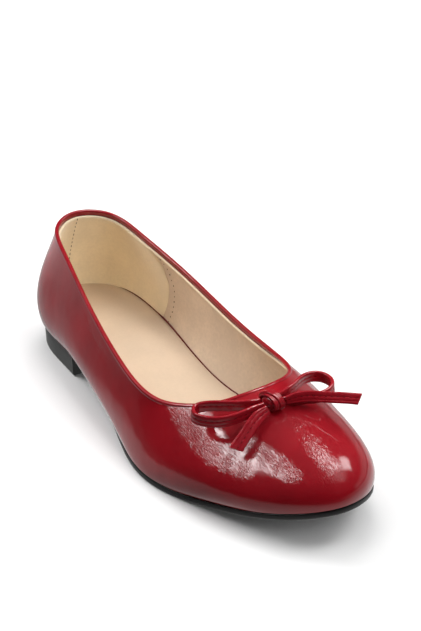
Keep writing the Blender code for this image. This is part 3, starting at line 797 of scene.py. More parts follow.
def build_linings(wall, sizes, colours):
    """The lining with its cut edge under the binding, and the suede heel lining on it."""
    foot = np.full(wall.count, 0.03)
    face = []
    back = []
    for v in wall.levels(foot, wall.share_below_top(LINING_CUT), LINING_LEVELS):
        out = lining_out(wall.depth_at(v))[:, None]
        face.append(wall.offset(v, out))
        back.append(wall.offset(v, out + LINING_THICKNESS))
    rings = np.stack(face + back[::-1])
    faces, _ = ring_faces(len(rings), wall.count, True)
    finish = lining_finish("lining_leather", colours.lining)
    make_piece("lining", rings.reshape(-1, 3), faces, finish, sharp=50)

    raw = lining_finish("lining_cut_edge", colours.cut_edge, grain_scale=2200.0, roughness=0.7, blotch=0.08)
    section = smooth_profile(CUT_EDGE_PROFILE, CUT_EDGE_CORNERS) / 1000.0
    rings = np.stack([wall.below_top(depth, out) for depth, out in section])
    faces, _ = ring_faces(len(rings), wall.count, True)
    make_piece("lining_edge", rings.reshape(-1, 3), faces, raw)

    edge = np.array(HEEL_LINING_EDGE)
    depths = np.linspace(edge[0, 1], edge[-1, 1], SUEDE_ROWS) / 1000.0
    across = np.linspace(-1.0, 1.0, SUEDE_COLUMNS)
    suede = lining_finish(
        "heel_suede", colours.heel_lining, grain_scale=1600.0, grain_depth=0.00005,
        sheen=0.3, roughness=0.85, blotch=0.08,
    )
    face = []
    back = []
    for depth in depths:
        width = ALL_SECTIONS - np.interp(depth * 1000.0, edge[:, 1], edge[:, 0])
        v = wall.share_below_top(depth)
        ring = wall.at(v)
        normal = wall.normals(v)
        out = lining_out(depth)
        place = (across * width % ALL_SECTIONS) * STATIONS_PER_ROW
        first = place.astype(int) % wall.count
        second = (first + 1) % wall.count
        share = (place - place.astype(int))[:, None]
        point = ring[first] * (1 - share) + ring[second] * share
        facing = normal[first] * (1 - share) + normal[second] * share
        rim = np.minimum(1.0 - np.abs(across), min(1.0, (depth - depths[0]) * 40.0 + 0.02))
        thick = SUEDE_THICKNESS * np.sqrt(np.clip(rim * 26.0, 0.0, 1.0))[:, None]
        face.append(point + facing * (out - 0.00012 - thick))
        back.append(point + facing * (out + 0.00015))
    make_sheet("heel_lining", np.stack(face), np.stack(back), suede)


def make_sheet(name, front, back, finish):
    """A thin closed piece from two grids of points, front and back, joined round their rim."""
    rows, columns = front.shape[:2]
    points = np.concatenate([front.reshape(-1, 3), back.reshape(-1, 3)])
    half = rows * columns
    faces = []
    for quad in grid_faces(rows, columns):
        faces.append(quad)
        faces.append(tuple(half + n for n in quad[::-1]))
    rim = list(range(columns))
    rim += [r * columns + columns - 1 for r in range(1, rows)]
    rim += [(rows - 1) * columns + c for c in range(columns - 2, -1, -1)]
    rim += [r * columns for r in range(rows - 2, 0, -1)]
    for a, b in zip(rim, rim[1:] + rim[:1]):
        faces.append((a, half + a, half + b, b))
    return make_piece(name, points, faces, finish, sharp=60)


def smooth_profile(profile, count):
    """A closed cross-section, rounded and read at count places."""
    corner = np.array(profile, dtype=float)
    gap = np.linalg.norm(np.roll(corner, -1, axis=0) - corner, axis=1)
    knots = np.concatenate([[0.0], np.cumsum(gap)[:-1]])
    at = np.linspace(0.0, gap.sum(), count, endpoint=False)
    return closed_spline(knots, corner, gap.sum(), at)


def build_binding(wall, sizes, colours):
    """The patent strip folded over the topline: a rounded bead outside and a thin leg inside."""
    section = smooth_profile(BINDING_PROFILE, BINDING_CORNERS) / 1000.0
    rings = np.stack([wall.below_top(max(depth, 0.0), out) for depth, out in section])
    faces, _ = ring_faces(len(rings), wall.count, True)
    points = rings.reshape(-1, 3)
    finish = patent_finish("patent_binding", colours.binding, coat_roughness=0.07)
    make_piece("collar_binding", points, faces, finish, ["topline_binding"])


def plate_rows(outline, cells):
    """Points across a closed outline in rows, with the rows of their numbers and the rim's numbers."""
    half = len(outline) // 2
    points = []
    rows = []
    for i in range(half + 1):
        ends = (outline[i], outline[-i]) if 0 < i < half else (outline[i],)
        shares = np.linspace(0.0, 1.0, cells + 1) if len(ends) == 2 else [0.0]
        row = []
        for share in shares:
            row.append(len(points))
            points.append(ends[0] + (ends[-1] - ends[0]) * share)
        rows.append(row)
    rim = [row[0] for row in rows] + [row[-1] for row in rows[-2:0:-1]]
    return np.array(points), rows, rim


def row_faces(rows, start=0):
    """Quads between rows of equal length and triangles to a row of one point."""
    faces = []
    for near, far in zip(rows, rows[1:]):
        if len(near) == 1:
            faces += [(near[0], far[k + 1], far[k]) for k in range(len(far) - 1)]
        elif len(far) == 1:
            faces += [(near[k], near[k + 1], far[0]) for k in range(len(near) - 1)]
        else:
            faces += [(near[k], near[k + 1], far[k + 1], far[k]) for k in range(len(near) - 1)]
    return [tuple(start + n for n in face) for face in faces]


def make_plate(name, rings, cells, finish, stands_for=(), crown=None, sharp=40):
    """A plate whose first ring bounds its underside and whose last ring bounds its top."""
    lower, low_rows, low_rim = plate_rows(rings[0], cells)
    upper, high_rows, high_rim = plate_rows(rings[-1], cells)
    if crown is not None:
        upper = crown(upper, rings[-1])
    points = [lower]
    faces = row_faces(low_rows)
    rims = [low_rim]
    start = len(lower)
    for ring in rings[1:-1]:
        rims.append(list(range(start, start + len(ring))))
        points.append(ring)
        start += len(ring)
    faces += [face[::-1] for face in row_faces(high_rows, start)]
    points.append(upper)
    rims.append([start + n for n in high_rim])
    for below, above in zip(rims, rims[1:]):
        for i in range(len(below)):
            j = (i + 1) % len(below)
            faces.append((below[i], below[j], above[j], above[i]))
    return make_piece(name, np.concatenate(points), faces, finish, stands_for, sharp)


def rim_distance(points, rim):
    """Distance in plan of each point from a closed rim."""
    away = np.full(len(points), 1.0)
    for corner in rim[::2]:
        away = np.minimum(away, np.hypot(points[:, 0] - corner[0], points[:, 1] - corner[1]))
    return away


def build_sock(wall, sizes, colours):
    """The sock on its board, a little turned up at its rim, and the dark line round it."""
    top = WALL + CLEARANCE + INSOLE_THICKNESS
    v = wall.share_at_height(top)
    stations = np.arange(wall.count) / STATIONS_PER_ROW
    open_gap = eased((stations - SOCK_INNER_START) / 1.5) * eased((SOCK_INNER_END - stations) / 0.7)
    gap = SOCK_GAP + SOCK_INNER_GAP * open_gap
    edge = wall.at(v) - wall.normals(v) * (WALL + gap)[:, None]
    edge[:, 2] = feather_height(edge[:, 0]) + top
    low = wall.inset(WALL + CLEARANCE)
    low[:, 2] = feather_height(low[:, 0]) + WALL + CLEARANCE
    middle = edge - outward(edge) * 0.0002
    middle[:, 2] -= 0.0010
    shoulder = edge - outward(edge) * 0.0002

    def crown(points, rim):
        """The sock's top, which rises a little at its rim."""
        rise = SOCK_TURN_UP * (1.0 - eased(rim_distance(points, rim) / SOCK_TURN_UP_REACH))
        points = points.copy()
        points[:, 2] = feather_height(points[:, 0]) + top + rise
        return points

    finish = lining_finish(
        "sock_leather", colours.sock, grain_scale=1100.0, sheen=0.15, roughness=0.55, blotch=0.05,
    )
    rings = [low, middle, edge, shoulder]
    make_plate("sock", rings, SOCK_CELLS, finish, ["insole"], crown, sharp=None)

    seam = rubber_finish("sock_edge", colours.sock_edge, 0.5, scuff=0.1)
    base = wall.at(v) - wall.normals(v) * (WALL - 0.0001)
    base[:, 2] = feather_height(base[:, 0]) + top
    reach = outward(base) * (gap + 0.0003)[:, None]
    rings = np.stack([
        base + UP * 0.0003, base - reach * 0.5 + UP * 0.0006, base - reach + UP * 0.0002,
        base - reach - UP * 0.0012, base - UP * 0.0012,
    ])
    faces, _ = ring_faces(len(rings), wall.count, True)
    make_piece("sock_edge", rings.reshape(-1, 3), faces, seam, sharp=50)


def sole_outline(wall, inwards=0.0):
    """Plan of the outsole: proud at the forepart and tucked under at the waist and heel."""
    tuck = raised_heel(wall.feather[:, 0])[:, None]
    lip = SOLE_LIP * (1.0 - tuck) - SHANK_TUCK * tuck - inwards
    return wall.feather + outward(wall.feather) * lip


# Side of the outsole from its underside up: mm in from its outline and share of its thickness
SOLE_SIDE = (
    (1.10, 0.00), (0.62, 0.03), (0.30, 0.11), (0.10, 0.24), (0.00, 0.42), (0.00, 0.66), (0.03, 0.82),
    (0.16, 0.93), (0.40, 0.99), (0.80, 1.00),
)


def build_outsole(wall, sizes, colours):
    """The outsole with its rounded edge."""
    rings = []
    for inwards, share in SOLE_SIDE:
        ring = sole_outline(wall, inwards / 1000.0)
        high = feather_height(ring[:, 0]) - CLEARANCE
        ring[:, 2] = np.round(high - sole_thickness(ring[:, 0]) * (1.0 - share), 9)
        rings.append(ring)
    finish = rubber_finish("sole_rubber", colours.sole, 0.42)
    make_plate("sole", rings, SOLE_CELLS, finish, ["outsole"], sharp=45)


def heel_sides(wall, inwards):
    """The feather line behind the breast, moved in and cut square, as its outer and inner halves."""
    line = sole_outline(wall, inwards)
    half = wall.count // 2
    sides = []
    for side in (line[:half + 1], np.roll(line, -1, axis=0)[::-1][:half + 1]):
        keep = int(np.argmax(side[:, 0] > HEEL_LENGTH))
        back, front = side[keep - 1], side[keep]
        share = (HEEL_LENGTH - back[0]) / (front[0] - back[0])
        sides.append(np.vstack([side[:keep], back + (front - back) * share]))
    return sides


def resampled(line, count):
    """A line read again at count even steps of its length."""
    run = np.concatenate([[0.0], np.cumsum(np.linalg.norm(np.diff(line, axis=0), axis=1))])
    at = np.linspace(0.0, run[-1], count)
    return np.stack([np.interp(at, run, line[:, k]) for k in range(3)], axis=1)


# Side of the heel from its tread up: mm in from its outline and share of its height
HEEL_SIDE = (
    (1.30, 0.000), (1.00, 0.020), (0.86, 0.070), (0.80, 0.180), (0.70, 0.400), (0.58, 0.650),
    (0.42, 0.930), (0.50, 0.985), (0.75, 1.000),
)


def build_heel(wall, sizes, colours):
    """The low heel with its rounded edges."""
    rings = []
    for inwards, share in HEEL_SIDE:
        outer, inner = heel_sides(wall, HEEL_INSET + inwards / 1000.0)
        outer = resampled(outer, HEEL_STEPS)
        inner = resampled(inner, HEEL_STEPS)
        breast = min(inwards, 1.0) / 1000.0 * 0.4
        ring = np.concatenate([outer, inner[:0:-1]])
        ring[:, 0] -= breast * eased((ring[:, 0] - HEEL_LENGTH + 0.004) / 0.004)
        ring[:, 2] = (feather_height(ring[:, 0]) - sole_thickness(ring[:, 0]) - 2.0 * CLEARANCE) * share
        rings.append(ring)
    finish = rubber_finish("heel_rubber", colours.heel, 0.40)
    make_block("heel_block", rings, finish, ["heel"])


def make_block(name, rings, finish, stands_for):
    """A block of rings closed at both ends by fans."""
    count = len(rings[0])
    faces, _ = ring_faces(len(rings), count, False)
    points = np.concatenate(list(rings) + [rings[0].mean(axis=0)[None], rings[-1].mean(axis=0)[None]])
    low, high = len(points) - 2, len(points) - 1
    last = (len(rings) - 1) * count
    for i in range(count):
        j = (i + 1) % count
        faces.append((low, j, i))
        faces.append((high, last + i, last + j))
    return make_piece(name, points, faces, finish, stands_for, sharp=38)


def knot_middle(wall):
    """Middle of the knot, which rests on the vamp in front of the throat."""
    rest = KNOT_HEIGHT / 2.0 + CLEARANCE
    return wall.below_top(BOW_SETBACK, rest)[TOE_SECTION * STATIONS_PER_ROW]


def strip_frame(path, lean):
    """Directions along a strip, across its width and out of its face."""
    along = np.gradient(path, axis=0)
    along /= np.linalg.norm(along, axis=1)[:, None]
    side = np.cross(UP, along)
    side /= np.linalg.norm(side, axis=1)[:, None]
    rise = np.cross(along, side)
    turn = np.radians(lean)[:, None]
    width = np.cos(turn) * side + np.sin(turn) * rise
    return along, width, np.cross(along, width)


def strip_lines(wall):
    """Centre line and frame of each strip of the bow."""
    middle = knot_middle(wall)
    lines = {}
    for name, rows in BOW_STRIPS.items():
        table = np.array(rows, dtype=float)
        table[:, :STRIP_COLUMNS.index("lean")] *= BOW_SPREAD
        line = open_spline(table, named(STRIP_MAKE_COLUMNS, STRIP_MAKE[name]).steps)
        path = line[:, :3] + middle
        lines[name] = (path,) + strip_frame(path, line[:, 3])
    return lines


def sweep(path, along, width, depth, profile, wide, thick, slant=0.0, ends=(1.0, 1.0)):
    """Rings of a strip's cross-section along its path, cut on the slant at its far end."""
    run = np.concatenate([[0.0], np.cumsum(np.linalg.norm(np.diff(path, axis=0), axis=1))])
    near = eased(run / PINCH_LENGTH)
    far = eased((run[-1] - run) / PINCH_LENGTH)
    scale = (ends[0] + (1.0 - ends[0]) * near) * (ends[1] + (1.0 - ends[1]) * far)
    skew = slant * (1.0 - eased((run[-1] - run) / CUT_LENGTH))
    rings = []
    for i, point in enumerate(path):
        w = profile[:, :1] * wide * scale[i]
        d = profile[:, 1:] * thick * (0.75 + 0.25 * scale[i])
        rings.append(point + width[i] * w + depth[i] * d + along[i] * w * skew[i])
    return np.stack(rings)


def build_bow(wall, sizes, colours):
    """Two loops and two ends of one folded strip, and the knot wrapped round them."""
    finish = patent_finish("patent_bow", colours.bow, 330.0, 0.00034, coat_roughness=0.11)
    profile = smooth_profile(STRIP_PROFILE, STRIP_CORNERS)
    for name, (path, along, width, depth) in strip_lines(wall).items():
        make = named(STRIP_MAKE_COLUMNS, STRIP_MAKE[name])
        rings = sweep(
            path, along, width, depth, profile, STRIP_WIDTH * make.wide / 2.0, ROLLED_THICKNESS / 2.0,
            make.slant, (make.pinch, make.far_end),
        )
        make_capped(name.replace("bow_", "strip_"), rings, finish, [name])
    build_knot(wall, finish)


def make_capped(name, rings, finish, stands_for=()):
    """A strip of rings along a path, closed at both ends."""
    count = rings.shape[1]
    faces, _ = ring_faces(len(rings), count, False)
    faces.append(tuple(range(count))[::-1])
    last = (len(rings) - 1) * count
    faces.append(tuple(last + k for k in range(count)))
    return make_piece(name, rings.reshape(-1, 3), faces, finish, stands_for, sharp=60)


# The knot's core: how far it reaches to each side as a share of the knot's length, how round its
# ends are and how deep its flutes are, as shares of its radius
KNOT_REACH = 0.42
KNOT_ROUNDING = 0.80
KNOT_FLUTE = 0.035

# Wraps of the knot: place along the throat and slant as shares of the knot's length, lift over the
# core as a share of its height, width as a share of STRIP_WIDTH, and where the slant starts in degrees
WRAP_COLUMNS = ("place", "slant", "lift", "wide", "start")
WRAPS = (
    (-0.20, 0.10, 0.06, 0.50, -110),
    (0.20, 0.12, 0.00, 0.48, -100),
    (0.02, 0.22, 0.17, 0.62, -104),
)


def build_knot(wall, finish):
    """The knot: a creased core and the strip's wraps over it."""
    middle = knot_middle(wall)
    turn = 2.0 * math.pi * np.arange(KNOT_SIDES) / KNOT_SIDES
    rings = []
    for share in np.linspace(-1.0, 1.0, KNOT_LEVELS):
        size = 0.98 * math.sqrt(1.0 - KNOT_ROUNDING * share * share)
        flute = 1.0 + KNOT_FLUTE * np.cos(7.0 * turn + 2.0 * share) * (0.3 + 0.7 * share * share)
        rings.append(np.stack([
            middle[0] + np.cos(turn) * KNOT_DEPTH / 2.0 * size * flute,
            np.full(KNOT_SIDES, middle[1] + share * KNOT_LENGTH * KNOT_REACH),
            middle[2] + np.sin(turn) * KNOT_HEIGHT / 2.0 * size * flute,
        ], axis=1))
    make_capped("knot_core", np.stack(rings), finish, ["bow_knot"])
    profile = smooth_profile(STRIP_PROFILE, WRAP_CORNERS)
    for number, wrap in enumerate(WRAPS, 1):
        make_wrap("knot_wrap_%d" % number, middle, profile, wrap, finish)


def make_wrap(name, middle, profile, wrap, finish):
    """One turn of the strip round the knot's core."""
    wrap = named(WRAP_COLUMNS, wrap)
    turn = 2.0 * math.pi * np.arange(WRAP_STEPS) / WRAP_STEPS
    across = (wrap.place + wrap.slant * np.sin(turn - math.radians(wrap.start))) * KNOT_LENGTH
    share = np.clip(across / (KNOT_LENGTH * KNOT_REACH), -1.0, 1.0)
    reach = np.sqrt(1.0 - KNOT_ROUNDING * share ** 2) + wrap.lift
    path = np.stack([
        middle[0] + np.cos(turn) * KNOT_DEPTH / 2.0 * reach,
        middle[1] + across,
        middle[2] + np.sin(turn) * KNOT_HEIGHT / 2.0 * reach,
    ], axis=1)
    along = np.roll(path, -1, axis=0) - np.roll(path, 1, axis=0)
    along /= np.linalg.norm(along, axis=1)[:, None]
    out = np.stack([np.cos(turn) * KNOT_HEIGHT, np.zeros(WRAP_STEPS), np.sin(turn) * KNOT_DEPTH], axis=1)
    out -= along * np.sum(out * along, axis=1)[:, None]
    out /= np.linalg.norm(out, axis=1)[:, None]
    width = np.cross(out, along)
    narrow = STRIP_WIDTH / 2.0 * wrap.wide
    thin = STRIP_THICKNESS / 2.0 * 0.80
    across = profile[:, None, :1] * narrow
    outwards = profile[:, None, 1:] * thin
    rings = path[None] + width[None] * across + out[None] * outwards
    faces, _ = ring_faces(len(rings), WRAP_STEPS, True)
    make_piece(name, rings.reshape(-1, 3), faces, finish)


def marks_tree(name, finish):
    """A node tree that sets small rounded marks along a line at even steps."""
    tree = bpy.data.node_groups.new(name, "GeometryNodeTree")
    face = tree.interface
    face.new_socket("Line", in_out="INPUT", socket_type="NodeSocketGeometry")
    for label in ("Pitch", "Length", "Width", "Height"):
        socket = face.new_socket(label, in_out="INPUT", socket_type="NodeSocketFloat")
        socket.subtype = "DISTANCE"
        socket.min_value = 0.00001
    seed = face.new_socket("Seed", in_out="INPUT", socket_type="NodeSocketInt")
    seed.default_value = 7
    face.new_socket("Marks", in_out="OUTPUT", socket_type="NodeSocketGeometry")
    given = tree.nodes.new("NodeGroupInput").outputs
    line = node(tree, "GeometryNodeMeshToCurve", Mesh=given["Line"])
    even = node(
        tree, "GeometryNodeResampleCurve", {"mode": "LENGTH"},
        Curve=line.outputs["Curve"], Length=given["Pitch"],
    )
    tangent = node(tree, "GeometryNodeInputTangent").outputs["Tangent"]
    facing = node(tree, "GeometryNodeInputNamedAttribute", {"data_type": "FLOAT_VECTOR"}, Name="facing")
    aimed = node(tree, "FunctionNodeAlignRotationToVector", {"axis": "X"}, Vector=tangent)
    turned = node(
        tree, "FunctionNodeAlignRotationToVector", {"axis": "Z", "pivot_axis": "X"},
        Rotation=aimed.outputs["Rotation"], Vector=facing.outputs["Attribute"],
    )
    size = node(tree, "ShaderNodeCombineXYZ", X=given["Length"], Y=given["Width"], Z=given["Height"])
    uneven = node(tree, "FunctionNodeRandomValue", {"data_type": "FLOAT"}, Seed=given["Seed"])
    uneven.inputs[2].default_value = 0.88
    uneven.inputs[3].default_value = 1.10
    scaled = node(tree, "ShaderNodeVectorMath", {"operation": "SCALE"})
    tree.links.new(size.outputs["Vector"], scaled.inputs[0])
    tree.links.new(uneven.outputs[1], scaled.inputs["Scale"])
    bead = node(tree, "GeometryNodeMeshUVSphere", Segments=12, Rings=6, Radius=0.5)
    marks = node(
        tree, "GeometryNodeInstanceOnPoints", Points=even.outputs["Curve"], Instance=bead.outputs["Mesh"],
        Rotation=turned.outputs["Rotation"], Scale=scaled.outputs["Vector"],
    )
    real = node(tree, "GeometryNodeRealizeInstances", Geometry=marks.outputs["Instances"])
    soft = node(tree, "GeometryNodeSetShadeSmooth", Geometry=real.outputs["Geometry"])
    painted = node(tree, "GeometryNodeSetMaterial", Geometry=soft.outputs["Geometry"], Material=finish)
    end = tree.nodes.new("NodeGroupOutput")
    tree.links.new(painted.outputs["Geometry"], end.inputs["Marks"])
    return tree


def set_marks(name, points, facings, finish, pitch, length, width, height):
    """Marks along one line, made by the node tree and kept as a plain mesh."""
    mesh = bpy.data.meshes.new(name + "_line")
    moved = np.asarray(points) + TO_FRAME
    edges = [(i, i + 1) for i in range(len(points) - 1)]
    mesh.from_pydata([tuple(map(float, p)) for p in moved], edges, [])
    facing = mesh.attributes.new("facing", "FLOAT_VECTOR", "POINT")
    facing.data.foreach_set("vector", np.asarray(facings, dtype=float).ravel())
    guide = bpy.data.objects.new(name + "_line", mesh)
    bpy.context.scene.collection.objects.link(guide)
    tree = marks_tree(name + "_marks", finish)
    modifier = guide.modifiers.new("marks", "NODES")
    modifier.node_group = tree
    wanted = {"Pitch": pitch, "Length": length, "Width": width, "Height": height}
    for item in tree.interface.items_tree:
        if item.name in wanted:
            modifier[item.identifier] = wanted[item.name]
    scene_graph = bpy.context.evaluated_depsgraph_get()
    made = bpy.data.meshes.new_from_object(guide.evaluated_get(scene_graph))
    made.name = name
    bpy.data.objects.remove(guide)
    if not len(made.polygons):
        raise RuntimeError("no marks were made for " + name)
    return take_in(name, made)


def wall_line(wall, places, out):
    """Points and inward facings along a line given by sections and millimetres below the topline."""
    table = np.array(places, dtype=float)
    at = np.linspace(0.0, len(table) - 1.0, MARK_LINE_STEPS)
    sections = np.interp(at, np.arange(len(table)), table[:, 0])
    depths = np.interp(at, np.arange(len(table)), table[:, 1])
    points = []
    facings = []
    for section, depth in zip(sections, depths):
        point, normal = wall.spot(section, depth / 1000.0, lining_out(depth / 1000.0) - out)
        points.append(point)
        facings.append(-normal)
    return points, facings


def build_lining_marks(wall, sizes, colours):
    """The pricked holes in front of the heel lining, as raised marks painted a dark colour that stands for
    the shade inside each hole, and the stitches of the lining's back seam.
    """
    # Painted shade: the holes are raised marks coloured dark, where a real hole is dark from the shade
    # inside it.
    hole_shade = rubber_finish("pricked_hole_painted_shade", colours.hole_shade, 0.8, scuff=0.0)
    inner = [(section - 0.11, below) for section, below in HEEL_LINING_EDGE[:-1]] + [(13.66, 44.0)]
    outer = [(ALL_SECTIONS - section, below) for section, below in inner]
    for name, places in (("holes_inner", inner), ("holes_outer", outer)):
        points, facings = wall_line(wall, places, 0.00003)
        set_marks(
            name, points, facings, hole_shade, sizes.hole_pitch,
            sizes.hole_width * 1.5, sizes.hole_width, sizes.hole_width * 0.35,
        )
    thread = thread_finish("seam_thread", colours.seam_thread)
    seam = [(15.955, 3.4), (15.965, 16.0), (15.97, 30.0), (15.97, 45.5)]
    points, facings = wall_line(wall, seam, 0.00070)
    set_marks(
        "back_seam_stitches", points, facings, thread, sizes.stitch_pitch,
        sizes.stitch_pitch * 0.62, sizes.thread_width, sizes.thread_width * 0.6,
    )


def build_bow_stitches(wall, sizes, colours):
    """The row of stitches sunk in each strip of the bow."""
    thread = thread_finish("bow_thread", colours.thread)
    for name, (path, _, width, depth) in strip_lines(wall).items():
        valley = STITCH_VALLEY * STRIP_WIDTH * named(STRIP_MAKE_COLUMNS, STRIP_MAKE[name]).wide / 2.0
        for side, facing in (("front", 1.0), ("back", -1.0)):
            lift = ROLLED_THICKNESS / 2.0 * VALLEY_DEPTH * facing
            points = path + width * valley + depth * lift
            set_marks(
                name.replace("bow_", "stitches_") + "_" + side, points[3:-3], depth[3:-3] * facing, thread,
                sizes.stitch_pitch, sizes.stitch_pitch * 0.55,
                sizes.thread_width, sizes.thread_width * 0.7,
            )


# The camera stands round the shoe by these angles in degrees, and its lens is given by the focal
# length in pixels of a frame 421 wide and 631 high. AIM falls at AIM_PIXEL of that frame.
CAMERA_AZIMUTH = 57.77
CAMERA_ELEVATION = 28.75
CAMERA_DISTANCE = 1.0
FOCAL_PIXELS = 2120.0
FRAME_WIDTH = 421.0
FRAME_HEIGHT = 631.0
SENSOR_HEIGHT = 24.0
AIM = (0.12, 0.0, 0.02)
AIM_PIXEL = (189.7, 384.0)


def place_camera(scene):
    """The camera, at the angle given above."""
    azimuth = math.radians(CAMERA_AZIMUTH)
    elevation = math.radians(CAMERA_ELEVATION)
    level = math.cos(elevation)
    look = -Vector((math.sin(azimuth) * level, -math.cos(azimuth) * level, math.sin(elevation)))
    right = look.cross(Vector((0.0, 0.0, 1.0))).normalized()
    up = right.cross(look)
    place = Vector(AIM) + Vector(TO_FRAME) - look * CAMERA_DISTANCE
    place -= right * ((AIM_PIXEL[0] - FRAME_WIDTH / 2.0) / FOCAL_PIXELS * CAMERA_DISTANCE)
    place += up * ((AIM_PIXEL[1] - FRAME_HEIGHT / 2.0) / FOCAL_PIXELS * CAMERA_DISTANCE)
    data = bpy.data.cameras.new("camera")
    data.sensor_fit = "VERTICAL"
    data.sensor_height = SENSOR_HEIGHT
    data.lens = SENSOR_HEIGHT * FOCAL_PIXELS / FRAME_HEIGHT
    data.clip_start = 0.01
    camera = bpy.data.objects.new("camera", data)
    camera.location = place
    camera.rotation_euler = look.to_track_quat("-Z", "Y").to_euler()
    scene.collection.objects.link(camera)
    scene.camera = camera


def direction(azimuth, elevation):
    """Unit vector towards an azimuth, counted from +X towards +Y, and an elevation, in degrees."""
    a, e = math.radians(azimuth), math.radians(elevation)
    return Vector((math.cos(e) * math.cos(a), math.cos(e) * math.sin(a), math.sin(e)))


# Lamps that light the shoe and the floor, kept out of the reflections: azimuth and elevation in
# degrees, and radiance
LAMP_COLUMNS = ("azimuth", "elevation", "radiance")
LAMPS = {
    "lamp_left_back": (-162.0, 28.0, 12.5),
    "lamp_left": (-115.0, 62.0, 1.8),
    "lamp_toe": (10.0, 38.0, 4.5),
    "lamp_right": (88.0, 36.0, 4.5),
    "lamp_right_top": (60.0, 60.0, 4.6),
    "lamp_behind": (150.0, 60.0, 6.0),
    "lamp_overhead": (0.0, 88.0, 2.0),
}
LAMP_DISTANCE = 1.4
LAMP_SIZE = 0.7
LIT_POINT = (0.13, 0.0, 0.03)

# Soft windows in the dark dome that the patent reflects: azimuth and elevation of the middle, half
# width and half height, and width of the soft edge, all in degrees, and radiance
WINDOW_COLUMNS = ("azimuth", "elevation", "half_width", "half_height", "soft", "radiance")
WINDOWS = {
    "left": (-126.0, 43.0, 15.0, 9.0, 7.0, 2.1),
    "left_bright": (-109.0, 47.0, 13.0, 5.0, 5.0, 15.0),
    "top": (100.0, 68.0, 13.0, 7.0, 5.0, 13.0),
    "top_soft": (60.0, 62.0, 18.0, 14.0, 16.0, 1.3),
    "inner": (89.0, 44.0, 8.0, 8.0, 7.0, 8.0),
    "behind": (92.0, 2.0, 40.0, 12.0, 12.0, 0.4),
}

# Light of the paper round the shoe as the patent reflects it: azimuth in degrees from the middle of
# the forepart, and radiance near the shoe, further out and far off, which PAPER_RINGS places
PAPER_COLUMNS = ("azimuth", "near", "middle", "far")
PAPER_LIGHT = (
    (-180, 0.55, 0.60, 1.50),
    (-140, 0.75, 0.10, 0.00),
    (-60, 0.40, 0.00, 0.00),
    (0, 0.90, 0.05, 0.00),
    (60, 0.90, 0.60, 0.10),
    (120, 0.50, 0.80, 0.20),
    (180, 0.55, 0.60, 1.50),
)
PAPER_RINGS = (0.0, 0.10, 0.16, 0.28, 0.42, 0.60, 0.75)
DOME_RADIUS = 1.5
PAPER_DEPTH = 0.0006     # below the floor, which lets this light through to the shoe alone

# The floor's half width, where its own glow starts and where it is full, and the wall far round it
FLOOR_REACH = 3.0
GLOW_START = 0.6
GLOW_FULL = 1.8
FAR_GLOW = 0.8
BACKDROP_RADIUS = 2.8
BACKDROP_HEIGHT = 3.0
BACKDROP_GLOW = 0.86


def place_lamp(scene, name, row, share):
    """A softbox that faces the shoe."""
    asked = named(LAMP_COLUMNS, row)
    data = bpy.data.lights.new(name, "AREA")
    data.shape = "SQUARE"
    data.size = LAMP_SIZE
    data.energy = asked.radiance * math.pi * LAMP_SIZE * LAMP_SIZE * share
    lamp = bpy.data.objects.new(name, data)
    away = direction(asked.azimuth, asked.elevation)
    lamp.location = Vector(LIT_POINT) + away * LAMP_DISTANCE
    lamp.rotation_euler = (-away).to_track_quat("-Z", "Y").to_euler()
    lamp.visible_glossy = False
    scene.collection.objects.link(lamp)


def stage_mesh(name, points, faces, finish):
    """A piece of the stage, which is no part of the shoe."""
    mesh = bpy.data.meshes.new(name)
    mesh.from_pydata(points, [], faces)
    mesh.materials.append(finish)
    thing = bpy.data.objects.new(name, mesh)
    bpy.context.scene.collection.objects.link(thing)
    return thing


def glowing(name, share):
    """A surface that shines as strongly as its glow attribute says."""
    finish, tree, shader = new_finish(name, (0.0, 0.0, 0.0), 1.0, specular=0.0)
    glow = node(tree, "ShaderNodeAttribute", {"attribute_name": "glow"}).outputs["Fac"]
    shader.inputs["Emission Color"].default_value = WHITE
    tree.links.new(calculate(tree, "MULTIPLY", glow, share), shader.inputs["Emission Strength"])
    return finish


def reflected_only(name, points, faces, glow, finish):
    """A part of the stage that the camera and the lamps pass through."""
    thing = stage_mesh(name, points, faces, finish)
    layer = thing.data.attributes.new("glow", "FLOAT", "POINT")
    layer.data.foreach_set("value", glow)
    thing.visible_camera = False
    thing.visible_diffuse = False
    thing.visible_shadow = False
    return thing


def window_light(azimuth, elevation):
    """Radiance of the dome in one direction, in degrees."""
    light = 0.0
    for window in (named(WINDOW_COLUMNS, row) for row in WINDOWS.values()):
        across = (azimuth - window.azimuth + 180.0) % 360.0 - 180.0
        across *= math.cos(math.radians(elevation))
        rise = elevation - window.elevation
        beside = eased((window.half_width - abs(across)) / window.soft + 0.5)
        level = eased((window.half_height - abs(rise)) / window.soft + 0.5)
        light += window.radiance * float(beside * level)
    return light


